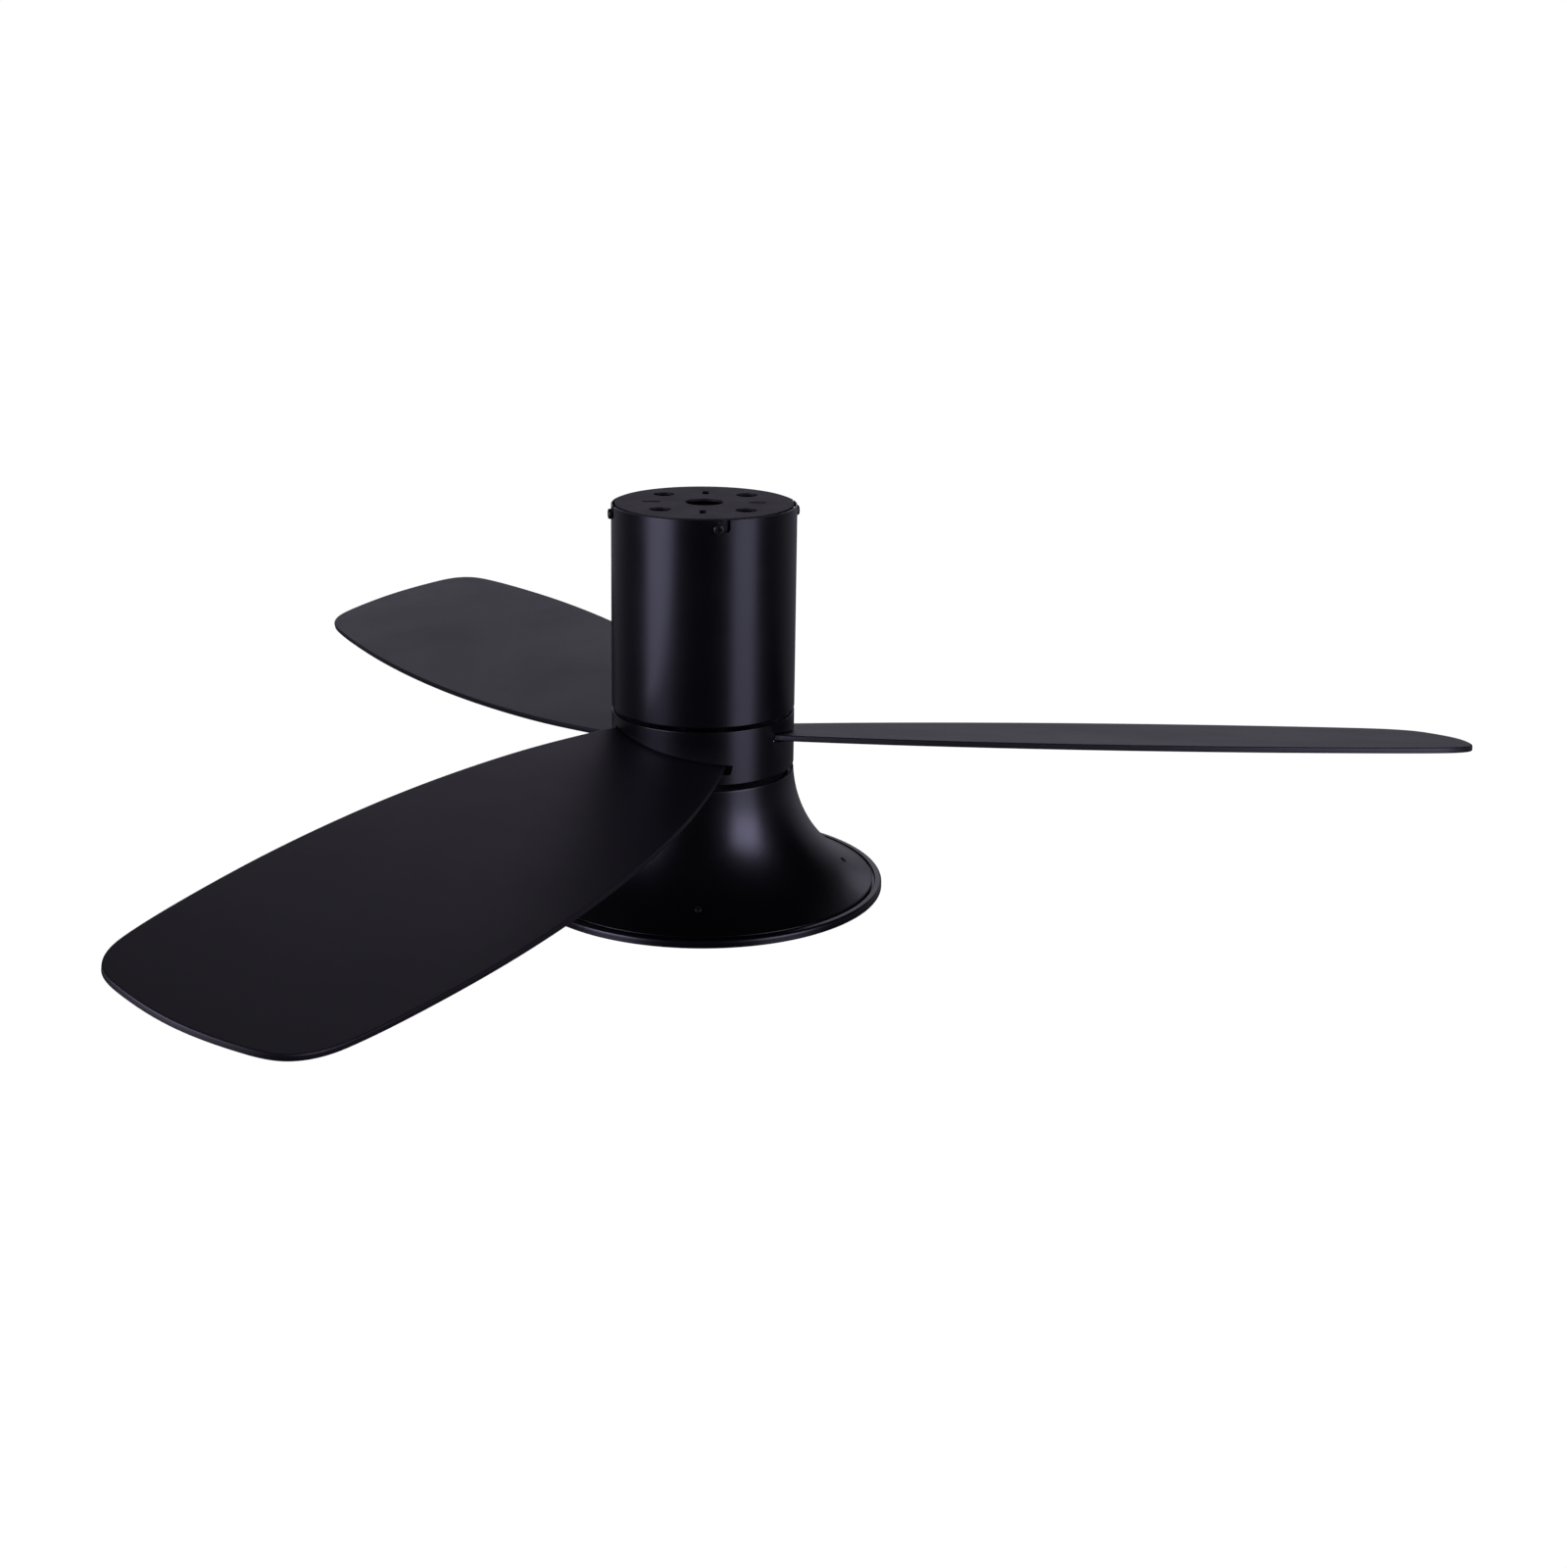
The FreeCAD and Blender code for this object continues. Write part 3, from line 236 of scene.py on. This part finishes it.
def round_wall(mesh, radius):
    """Exactly radial shading on a cut cylinder's outer wall, whatever faces the cuts have left."""
    normals = [tuple(n.vector) for n in mesh.corner_normals]
    for face in mesh.polygons:
        corners = [mesh.vertices[v].co for v in face.vertices]
        if all(abs(c.to_2d().length - radius) < 0.01 * MM for c in corners) and abs(face.normal.z) < 0.3:
            for loop, c in zip(face.loop_indices, corners):
                normals[loop] = (c.x / radius, c.y / radius, 0.0)
    mesh.normals_split_custom_set(normals)


def mesh_of(name, points, faces):
    mesh = bpy.data.meshes.new(name)
    mesh.from_pydata(points, [], faces)
    work = bmesh.new()
    work.from_mesh(mesh)
    bmesh.ops.remove_doubles(work, verts=work.verts, dist=1e-7)
    bmesh.ops.recalc_face_normals(work, faces=work.faces)
    work.to_mesh(mesh)
    work.free()
    return mesh


def turned(name, outline, segments=SEGMENTS):
    """Mesh of revolution about Z of a closed outline of (radius, height)."""
    points, rings = [], []
    for r, z in outline:
        if r < 1e-6:
            rings.append([len(points)] * segments)
            points.append((0, 0, z))
            continue
        rings.append(list(range(len(points), len(points) + segments)))
        points += [(r * cos(2 * pi * k / segments), r * sin(2 * pi * k / segments), z) for k in range(segments)]
    faces = []
    for one, two in zip(rings, rings[1:] + rings[:1]):
        for k in range(segments):
            n = (k + 1) % segments
            face = list(dict.fromkeys((one[k], one[n], two[n], two[k])))
            if len(face) > 2:
                faces.append(face)
    return mesh_of(name, points, faces)


def prism(name, outline, low, high, place=Matrix()):
    """Closed prism: a flat outline of (x, y) between two heights, then moved by place."""
    count = len(outline)
    points = [place @ Vector((x, y, z)) for z in (low, high) for x, y in outline]
    faces = [tuple(range(count))[::-1], tuple(range(count, 2 * count))]
    faces += [(k, (k + 1) % count, count + (k + 1) % count, count + k) for k in range(count)]
    return mesh_of(name, points, faces)


def soften(mesh, width, steps):
    """Rounds every sharp edge of a mesh, then shades it smooth."""
    work = bmesh.new()
    work.from_mesh(mesh)
    sharp = [e for e in work.edges if e.is_manifold and e.calc_face_angle() > radians(40)]
    bmesh.ops.bevel(work, geom=sharp, offset=width, segments=steps, profile=0.5, affect="EDGES")
    work.to_mesh(mesh)
    work.free()
    smooth(mesh, 35)


def carve(mesh, cutters):
    """Result of cutting the mesh with other meshes, which are used up."""
    base = bpy.data.objects.new("carve_base", mesh)
    scene.collection.objects.link(base)
    tools = []
    for cutter in cutters:
        tool = bpy.data.objects.new("carve_tool", cutter)
        scene.collection.objects.link(tool)
        tools.append(tool)
        step = base.modifiers.new("carve", "BOOLEAN")
        step.operation, step.solver, step.object = "DIFFERENCE", "EXACT", tool
    graph = bpy.context.evaluated_depsgraph_get()
    out = bpy.data.meshes.new_from_object(base.evaluated_get(graph))
    for thing in [base] + tools:
        data = thing.data
        bpy.data.objects.remove(thing)
        bpy.data.meshes.remove(data)
    return out


def at_angle(degrees):
    return Matrix.Rotation(radians(degrees), 4, "Z")


def blade_frame(index):
    """X runs out along the blade, Y across it, Z off its upper face."""
    turn = at_angle(FIRST_BLADE + index * 360 / BLADES)
    turn = turn @ Matrix.Rotation(radians(-PITCH), 4, "X") @ Matrix.Rotation(radians(DROOP), 4, "Y")
    return Matrix.Translation((0, 0, BLADE_Z)) @ turn


# ---------------------------------------------------------------- materials

def node(tree, kind, **values):
    made = tree.nodes.new("ShaderNode" + kind)
    for key, value in values.items():
        if key in made.inputs:
            made.inputs[key].default_value = value
        else:
            setattr(made, key, value)
    return made


def material(name, base, roughness, metallic=0.0, spread=0.05, patch=25.0, tint=0.12, grain=1400.0, relief=0.012,
             stretch=(1, 1, 1), edge_wear_and_highlight=None, specular=0.5, coat=0.0, pattern=None, subsurface=0.0, sheen_tone=(1, 1, 1)):
    """Procedural finish: patchy tone and roughness, fine grain in the surface, and optional lighter sharp edges.
    relief is the grain's height in millimetres; the edge colour is painted on sharp edges: wear on the screws and cast
    metal, and on the black paint wear with a painted highlight along the edges."""
    look = bpy.data.materials.new(name)
    look.use_nodes = True
    tree = look.node_tree
    link = tree.links.new
    shader = tree.nodes["Principled BSDF"]
    shader.inputs["Metallic"].default_value = metallic
    shader.inputs["Specular IOR Level"].default_value = specular
    shader.inputs["Specular Tint"].default_value = (*sheen_tone, 1)
    if coat:
        shader.inputs["Coat Weight"].default_value = coat
        shader.inputs["Coat Roughness"].default_value = 0.15
    if subsurface:
        shader.inputs["Subsurface Weight"].default_value = subsurface
        shader.inputs["Subsurface Scale"].default_value = 0.004
    where = node(tree, "TexCoord")
    place = node(tree, "Mapping", Scale=stretch)
    link(where.outputs["Object"], place.inputs["Vector"])

    patches = node(tree, "TexNoise", Scale=patch, Detail=5.0, Roughness=0.6)
    link(place.outputs[0], patches.inputs["Vector"])
    rough = node(tree, "MapRange")
    for key, value in (("From Min", 0.3), ("From Max", 0.7), ("To Min", roughness - spread),
                       ("To Max", roughness + spread)):
        rough.inputs[key].default_value = value
    link(patches.outputs["Fac"], rough.inputs["Value"])
    link(rough.outputs["Result"], shader.inputs["Roughness"])

    tone = node(tree, "Mix", data_type="RGBA")
    tone.inputs[6].default_value = (*[c * (1 - tint) for c in base], 1)
    tone.inputs[7].default_value = (*[min(1, c * (1 + tint)) for c in base], 1)
    link(patches.outputs["Fac"], tone.inputs[0])
    colour = tone.outputs[2]

    fine = node(tree, "TexNoise", Scale=grain, Detail=3.0, Roughness=0.55)
    link(place.outputs[0], fine.inputs["Vector"])
    height = fine.outputs["Fac"]

    if pattern:
        colour, height = pattern(tree, where, colour, height)
    # sharp edges lightened by pointiness: worn edges, and on the black paint also a painted highlight along its edges
    if edge_wear_and_highlight:
        edge_shape = node(tree, "NewGeometry")
        edge = node(tree, "MapRange")
        for key, value in (("From Min", 0.53), ("From Max", 0.62), ("To Min", 0.0), ("To Max", 0.8)):
            edge.inputs[key].default_value = value
        link(edge_shape.outputs["Pointiness"], edge.inputs["Value"])
        broken = node(tree, "TexNoise", Scale=180.0, Detail=4.0)
        link(where.outputs["Object"], broken.inputs["Vector"])
        amount = node(tree, "Math", operation="MULTIPLY")
        link(edge.outputs["Result"], amount.inputs[0])
        link(broken.outputs["Fac"], amount.inputs[1])
        edges_worn_and_lit = node(tree, "Mix", data_type="RGBA")
        edges_worn_and_lit.inputs[7].default_value = (*edge_wear_and_highlight, 1)
        link(amount.outputs[0], edges_worn_and_lit.inputs[0])
        link(colour, edges_worn_and_lit.inputs[6])
        colour = edges_worn_and_lit.outputs[2]
    link(colour, shader.inputs["Base Color"])
    bump = node(tree, "Bump", Strength=0.6, Distance=relief * MM)
    link(height, bump.inputs["Height"])
    link(bump.outputs[0], shader.inputs["Normal"])
    return look


def bands(scale, axis, dark, depth=0.35):
    """Fine parallel lines across one axis: stacked sheets, wound wire, moulded ribs."""
    def build(tree, where, colour, height):
        wave = node(tree, "TexWave", Scale=scale, Distortion=0.4, Detail=1.0, wave_type="BANDS",
                    bands_direction=axis)
        tree.links.new(where.outputs["Object"], wave.inputs["Vector"])
        shade = node(tree, "Mix", data_type="RGBA", blend_type="MULTIPLY")
        shade.inputs[7].default_value = (dark, dark, dark, 1)
        tree.links.new(wave.outputs["Fac"], shade.inputs[0])
        tree.links.new(colour, shade.inputs[6])
        raise_by = node(tree, "Mix", data_type="FLOAT")
        raise_by.inputs[0].default_value = depth
        tree.links.new(height, raise_by.inputs[2])
        tree.links.new(wave.outputs["Fac"], raise_by.inputs[3])
        return shade.outputs[2], raise_by.outputs[0]
    return build


def tracks(line_colour):
    """Copper tracks under solder mask: a broken grid of thin raised lines."""
    def build(tree, where, colour, height):
        cells = node(tree, "TexVoronoi", Scale=170.0, feature="DISTANCE_TO_EDGE")
        tree.links.new(where.outputs["Object"], cells.inputs["Vector"])
        thin = node(tree, "MapRange")
        for key, value in (("From Min", 0.04), ("From Max", 0.07), ("To Min", 1.0), ("To Max", 0.0)):
            thin.inputs[key].default_value = value
        tree.links.new(cells.outputs["Distance"], thin.inputs["Value"])
        shade = node(tree, "Mix", data_type="RGBA")
        shade.inputs[7].default_value = (*line_colour, 1)
        tree.links.new(thin.outputs["Result"], shade.inputs[0])
        tree.links.new(colour, shade.inputs[6])
        return shade.outputs[2], thin.outputs["Result"]
    return build


LOOKS = {
    # the black paint's lighter edge colour is wear and a painted highlight along its sharp edges
    "black_paint": material("satin_black_coat", (0.0012, 0.0011, 0.0015), 0.3, spread=0.03, patch=14, tint=0.1,
                            grain=1100, relief=0.006, edge_wear_and_highlight=(0.03, 0.029, 0.034), sheen_tone=(0.8, 0.8, 1)),
    "black_blade": material("matt_black_blade", (0.0040, 0.0037, 0.0052), 0.46, spread=0.03, patch=9, tint=0.1,
                            grain=1800, relief=0.008, sheen_tone=(0.86, 0.81, 1)),
    "black_ecoat": material("black_electrocoat", (0.004, 0.0038, 0.0048), 0.6, spread=0.04, patch=30, tint=0.15,
                            grain=900, relief=0.01, specular=0.4, sheen_tone=(0.86, 0.81, 1)),
    "zinc_plate": material("bright_zinc", (0.86, 0.87, 0.88), 0.34, 1.0, spread=0.08, patch=60, tint=0.06,
                           grain=500, relief=0.004, stretch=(1, 9, 1)),
    "black_screw": material("black_oxide", (0.012, 0.012, 0.014), 0.3, 0.4, spread=0.06, patch=300,
                            grain=2500, relief=0.004, edge_wear_and_highlight=(0.12, 0.12, 0.13)),
    "steel": material("machined_steel", (0.5, 0.5, 0.52), 0.26, 1.0, spread=0.08, patch=90, grain=1200,
                      relief=0.004, stretch=(1, 1, 8)),
    "cast_alu": material("die_cast_aluminium", (0.6, 0.61, 0.62), 0.42, 1.0, spread=0.08, patch=70, tint=0.1,
                         grain=900, relief=0.03, edge_wear_and_highlight=(0.8, 0.8, 0.82)),
    "lamination": material("lamination_stack", (0.26, 0.26, 0.28), 0.45, 0.9, patch=60, grain=1500, relief=0.03,
                           pattern=bands(320, "Z", 0.35)),
    "magnet": material("ferrite", (0.07, 0.07, 0.08), 0.55, 0.2, patch=80, tint=0.2, grain=1600, relief=0.02),
    "copper": material("enamelled_copper", (0.66, 0.27, 0.1), 0.28, 0.85, patch=80, tint=0.15, grain=1500,
                       relief=0.12, coat=0.5, pattern=bands(300, "Z", 0.4, 0.8)),
    "nylon": material("natural_nylon", (0.78, 0.76, 0.69), 0.42, patch=40, tint=0.05, grain=1100, relief=0.01,
                      subsurface=0.15),
    "grey_plastic": material("grey_moulding", (0.1, 0.1, 0.11), 0.5, patch=40, grain=1700, relief=0.02),
    "board_green": material("green_solder_mask", (0.02, 0.14, 0.06), 0.3, patch=60, grain=900, relief=0.02,
                            coat=0.4, pattern=tracks((0.05, 0.27, 0.12))),
    "board_white": material("white_solder_mask", (0.8, 0.81, 0.8), 0.32, patch=60, tint=0.03, grain=900,
                            relief=0.02, coat=0.3, pattern=tracks((0.7, 0.71, 0.7))),
    "parts_dark": material("component_moulding", (0.03, 0.03, 0.035), 0.35, patch=90, grain=1600, relief=0.01),
    "brass": material("plain_brass", (0.72, 0.5, 0.2), 0.28, 1.0, patch=120, tint=0.1, grain=1500, relief=0.006),
    "rubber": material("soft_rubber", (0.02, 0.02, 0.02), 0.62, patch=60, grain=1500, relief=0.015),
    "lead_sheath": material("cable_sheath", (0.045, 0.045, 0.05), 0.45, patch=60, grain=1300, relief=0.01),
    "opal": material("opal_acrylic", (0.86, 0.86, 0.83), 0.36, spread=0.03, patch=20, tint=0.02, grain=1500,
                     relief=0.004, subsurface=0.35),
    "phosphor": material("led_phosphor", (0.9, 0.66, 0.12), 0.38, patch=300, tint=0.08, grain=2500, relief=0.01,
                         coat=0.6),
}


def dress_nodes():
    """Gives every CAD node the finish of its slot."""
    for part in frame["record"]["subparts"]:
        for k in range(len(NODES[part["node"]].material_slots)):
            NODES[part["node"]].material_slots[k].material = LOOKS[part["material_slot"]]


# ---------------------------------------------------------------- canopy

def wall_rings(start, count=4):
    """Rings 1 mm apart going down the outer wall: they end the long faces beside a cut before they cross it."""
    return [(BODY_R, start - k * MM) for k in range(count)]


def canopy_shell():
    """Steel tube with a rolled-in lower lip and a bayonet slot for each ceiling-plate screw."""
    inner, lip = BODY_R - CANOPY_WALL, BODY_R - 3.6 * MM
    low, high = canopy_low.z, canopy_high.z
    under_slots = SCREW_Z - 2 * HALF_SLOT
    mesh = turned("canopy_shell", rounded([
        (BODY_R, high, 0.45 * MM), *wall_rings(under_slots), (BODY_R, low, 0.9 * MM), (lip, low, 0.3 * MM),
        (lip, low + CANOPY_WALL, 0.3 * MM), (inner, low + CANOPY_WALL), (inner, under_slots),
        (inner, high, 0.3 * MM)]))
    run = 2 * BODY_R * sin(radians(TWIST / 2))
    # J outline on the tangent plane at a screw, as (up the tube, round the tube)
    outline = [(SCREW_Z + HALF_SLOT, run - HALF_SLOT)]
    outline += [(SCREW_Z + HALF_SLOT * sin(t), -HALF_SLOT * cos(t)) for t in np.linspace(pi / 2, -pi / 2, 16)]
    outline += [(SCREW_Z - HALF_SLOT * cos(t), run + HALF_SLOT * sin(t)) for t in np.linspace(0, pi / 2, 8)]
    outline += [(5 * MM, run + HALF_SLOT), (5 * MM, run - HALF_SLOT)]
    upright = Matrix(((0, 0, 1, 0), (0, 1, 0, 0), (1, 0, 0, 0), (0, 0, 0, 1)))
    mesh = carve(mesh, [prism("slot_tool", outline, BODY_R - 6 * MM, BODY_R + 6 * MM,
                              at_angle(SCREW_ANGLE + 90 * k) @ upright) for k in range(4)])
    smooth(mesh)
    round_wall(mesh, BODY_R)
    new_piece("canopy_shell", mesh, "housing", ["canopy"], LOOKS["black_paint"])


# ---------------------------------------------------------------- hub

def hub_ring():
    """Cast ring between canopy and shade, with a slanted slot for each blade."""
    inner, low, under = BODY_R - HUB_WALL, hub_low.z, HUB_DECK - HUB_WALL
    mesh = turned("hub_ring", rounded([
        (HUB_BORE_R, HUB_DECK), (BOSS_INNER_R, HUB_DECK), (BOSS_INNER_R, hub_high.z), (BOSS_R, hub_high.z),
        (BOSS_R, HUB_DECK),
        (inner, HUB_DECK, 0.6 * MM), (inner, HUB_TOP, 0.4 * MM), (BODY_R, HUB_TOP, 0.7 * MM),
        *wall_rings(HUB_TOP - 2 * MM), *wall_rings(low + 5 * MM),
        (BODY_R, low, 0.7 * MM), (inner, low, 0.3 * MM), (inner, under, 1 * MM), (HUB_BORE_R, under)]))
    corner, outline = 1.2 * MM, []
    (left, right), top = SLOT_SIDES, SLOT_HEIGHT / 2
    for x, y, start in ((right, top, 0), (left, top, 90), (left, -top, 180), (right, -top, 270)):
        x, y = x - corner * (1 if x > 0 else -1), y - corner * (1 if y > 0 else -1)
        outline += [(x + corner * cos(radians(start + a)), y + corner * sin(radians(start + a)))
                    for a in range(0, 91, 15)]
    along = Matrix(((0, 0, 1, 0), (1, 0, 0, 0), (0, 1, 0, 0), (0, 0, 0, 1)))
    mesh = carve(mesh, [prism("slot_tool", outline, *SLOT_REACH, blade_frame(k) @ along)
                        for k in range(BLADES)])
    smooth(mesh)
    round_wall(mesh, BODY_R)
    new_piece("hub_ring", mesh, "rotor", ["blade_hub"], LOOKS["black_paint"])
    for k in range(BLADES):
        hub_pad(k, under + 0.5 * MM)


def hub_pad(index, ceiling):
    """Block under the hub's deck that a blade is bolted up against."""
    edge = BODY_R - HUB_WALL
    sweep = np.linspace(-PAD_HALF_WIDTH, PAD_HALF_WIDTH, 15)
    outline = [(PAD_START, y) for y in (PAD_HALF_WIDTH, -PAD_HALF_WIDTH)]
    outline += [(sqrt(edge ** 2 - y * y) - 0.4 * MM, y) for y in sweep]
    place = blade_frame(index)
    low = [place @ Vector((x, y, THICKNESS / 2)) for x, y in outline]
    high = [Vector((p.x, p.y, ceiling)) for p in low]
    count = len(outline)
    faces = [tuple(range(count)), tuple(range(count, 2 * count))[::-1]]
    faces += [(k, (k + 1) % count, count + (k + 1) % count, count + k) for k in range(count)]
    mesh = mesh_of(f"hub_pad_{index + 1}", low + high, faces)
    soften(mesh, 0.6 * MM, 3)
    new_piece(mesh.name, mesh, "rotor", ["blade_hub"], LOOKS["black_paint"])


# ---------------------------------------------------------------- shade, rim and diffuser

def flare(z, offset=0.0):
    """Point of the flare's arc that lies at a height on its outer face, or offset inwards from there."""
    swing = asin((FLARE_CENTRE_Z - z) / FLARE_R)
    r = FLARE_R + offset
    return FLARE_CENTRE_R - r * cos(swing), FLARE_CENTRE_Z - r * sin(swing)


def flare_line(top, bottom, offset, count=72):
    a, b = (asin((FLARE_CENTRE_Z - z) / FLARE_R) for z in (top, bottom))
    r = FLARE_R + offset
    return [(FLARE_CENTRE_R - r * cos(t), FLARE_CENTRE_Z - r * sin(t)) for t in np.linspace(a, b, count)]


def shade_trumpet():
    """Trumpet-shaped spun shade: one wall with rounded ends, and an inner flange at its top."""
    outer = flare_line(shade_high.z, SHADE_BOTTOM, 0)
    inner = flare_line(shade_high.z, SHADE_BOTTOM, SHADE_WALL)[::-1]
    ends = []
    for near, far in ((outer[-1], inner[0]), (inner[-1], outer[0])):
        a, b = Vector(near), Vector(far)
        middle, half = (a + b) / 2, (b - a) / 2
        bulge = Vector((half.y, -half.x)) * 0.6
        ends.append([tuple(middle - half * cos(t) - bulge * sin(t)) for t in np.linspace(0, pi, 7)[1:-1]])
    mesh = turned("shade_trumpet", outer + ends[0] + inner + ends[1])
    smooth(mesh, 50)
    new_piece("shade_trumpet", mesh, "housing", ["light_shade"], LOOKS["black_paint"])
    reach, under = flare(FLANGE_TOP)[0] - SHADE_WALL * 0.6, FLANGE_TOP - FLANGE_THICKNESS
    mesh = turned("shade_flange", rounded([
        (FLANGE_INNER_R, FLANGE_TOP, 0.3 * MM), (reach, FLANGE_TOP), (reach, under),
        (FLANGE_INNER_R, under, 0.3 * MM)]))
    smooth(mesh)
    new_piece("shade_flange", mesh, "housing", ["light_shade"], LOOKS["black_paint"])


def light_rim():
    """Pan that closes the light: raised floor, channel under the shade, and the rim with its rounded top."""
    wall = PAN_R - PAN_WALL
    low = pan_low.z
    mesh = turned("light_rim", rounded([
        (0, PAN_FLOOR), (PAN_R, PAN_FLOOR, 1 * MM), (PAN_R, CHANNEL_TOP, 0.6 * MM),
        (RIM_INNER_R, CHANNEL_TOP, 0.5 * MM), (RIM_INNER_R, RIM_TOP, 0.6 * MM), (RIM_R, RIM_TOP, 2.4 * MM),
        (RIM_R, low, 0.8 * MM), (RIM_INNER_R, low, 0.4 * MM), (RIM_INNER_R, CHANNEL_BOTTOM, 0.3 * MM),
        (wall, CHANNEL_BOTTOM, 0.4 * MM), (wall, PAN_FLOOR - PAN_WALL, 0.4 * MM), (0, PAN_FLOOR - PAN_WALL)]))
    smooth(mesh)
    new_piece("light_rim", mesh, "housing", ["light_pan"], LOOKS["black_paint"])


def sector(name, inner, outer, low, high, angle, middle, body, node_name, slot):
    """Part of a ring, with softened edges."""
    steps = max(4, int(angle / 2))
    sweep = [radians(middle - angle / 2 + angle * k / steps) for k in range(steps + 1)]
    outline = [(inner * cos(t), inner * sin(t)) for t in sweep]
    outline += [(outer * cos(t), outer * sin(t)) for t in reversed(sweep)]
    mesh = prism(name, outline, low, high)
    soften(mesh, 0.2 * MM, 2)
    new_piece(name, mesh, body, [node_name], LOOKS[slot])


def opal_dome():
    """Shallow opal dome with a neck that hooks into the pan."""
    depth = DOME_TOP - DOME_EDGE - dome_low.z
    radius = (DOME_R ** 2 + depth ** 2) / (2 * depth)
    centre = dome_low.z + radius
    neck, neck_inner = PAN_R - PAN_WALL - 2 * MM, PAN_R - PAN_WALL - 4 * MM

    def bowl(r0, r1, size, count):
        return [(r, centre - sqrt(size ** 2 - r * r)) for r in np.linspace(r0, r1, count)]

    outside = bowl(0, DOME_R, radius, 60)
    inside = bowl(neck_inner, 0, radius - DOME_WALL, 40)
    edge = rounded([outside[-1], (DOME_R, DOME_TOP, 0.7 * MM), (neck, DOME_TOP, 0.4 * MM), (neck, LUG_TOP, 0.3 * MM),
                    (neck_inner, LUG_TOP, 0.3 * MM), inside[0]], closed=False)
    mesh = turned("opal_dome", outside + edge[1:-1] + inside)
    smooth(mesh)
    new_piece("opal_dome", mesh, "diffuser", ["diffuser"], LOOKS["opal"])
    for k in range(LUG_COUNT):
        sector(f"dome_lug_{k + 1}", neck - 0.5 * MM, neck + 1.7 * MM, LUG_TOP - LUG_THICKNESS, LUG_TOP, LUG_ANGLE,
               30 + 120 * k, "diffuser", "diffuser", "opal")
        sector(f"pan_hook_{k + 1}", PAN_R - PAN_WALL - 1.6 * MM, PAN_R - PAN_WALL + 0.5 * MM, CHANNEL_BOTTOM,
               LUG_TOP - LUG_THICKNESS - 0.2 * MM, LUG_ANGLE, 30 + 120 * k, "housing", "light_pan", "black_paint")


# ---------------------------------------------------------------- blades

def spline(points, count):
    """Even points along the natural cubic spline through the given ones."""
    p = np.array(points, float)
    t = np.concatenate([[0], np.cumsum(np.linalg.norm(np.diff(p, axis=0), axis=1))])
    h = np.diff(t)
    n = len(p)
    a, b = np.eye(n), np.zeros((n, p.shape[1]))
    for i in range(1, n - 1):
        a[i, i - 1:i + 2] = h[i - 1], 2 * (h[i - 1] + h[i]), h[i]
        b[i] = 6 * ((p[i + 1] - p[i]) / h[i] - (p[i] - p[i - 1]) / h[i - 1])
    m = np.linalg.solve(a, b)
    out = []
    for s in np.linspace(0, t[-1], count):
        i = min(int(np.searchsorted(t, s, side="right")) - 1, n - 2)
        u, v = t[i + 1] - s, s - t[i]
        out.append((m[i] * u ** 3 + m[i + 1] * v ** 3) / (6 * h[i]) + (p[i] / h[i] - m[i] * h[i] / 6) * u
                   + (p[i + 1] / h[i] - m[i + 1] * h[i] / 6) * v)
    return np.array(out)


def blade_skin(index):
    """Flat blade: its outline with rounded upper and lower edges."""
    half = [(u * MM, w * MM) for u, w in HALF_OUTLINE]
    outline = spline(half + [(u, -w) for u, w in reversed(half[:-1])], 480)
    across = np.roll(outline, -1, axis=0) - np.roll(outline, 1, axis=0)
    normal = np.stack([across[:, 1], -across[:, 0]], 1)
    normal /= np.linalg.norm(normal, axis=1)[:, None]
    normal *= -np.sign((normal * (outline - outline.mean(0))).sum(1).mean())
    rings = [(BLADE_EDGE + SUPPORT, THICKNESS / 2)]
    arc = [radians(90 - 15 * k) for k in range(7)]
    rings += [(BLADE_EDGE * (1 - cos(t)), THICKNESS / 2 - BLADE_EDGE * (1 - sin(t))) for t in arc]
    rings += [(inset, -z) for inset, z in reversed(rings)]
    count, points, faces = len(outline), [], []
    place = blade_frame(index)
    for inset, z in rings:
        for p, n in zip(outline, normal):
            x, y = p + n * inset
            points.append(place @ Vector((x, y, z)))
    for j in range(len(rings) - 1):
        a, b = j * count, (j + 1) * count
        faces += [(a + k, a + (k + 1) % count, b + (k + 1) % count, b + k) for k in range(count)]
    last = (len(rings) - 1) * count
    faces += [tuple(range(count)), tuple(range(last, last + count))]
    mesh = mesh_of(f"blade_skin_{index + 1}", points, faces)
    smooth(mesh, 35)
    new_piece(mesh.name, mesh, "rotor", [f"blade_{index + 1}"], LOOKS["black_blade"])


studio_camera()
studio()
dress_nodes()
canopy_shell()
hub_ring()
shade_trumpet()
light_rim()
opal_dome()
for index in range(BLADES):
    blade_skin(index)
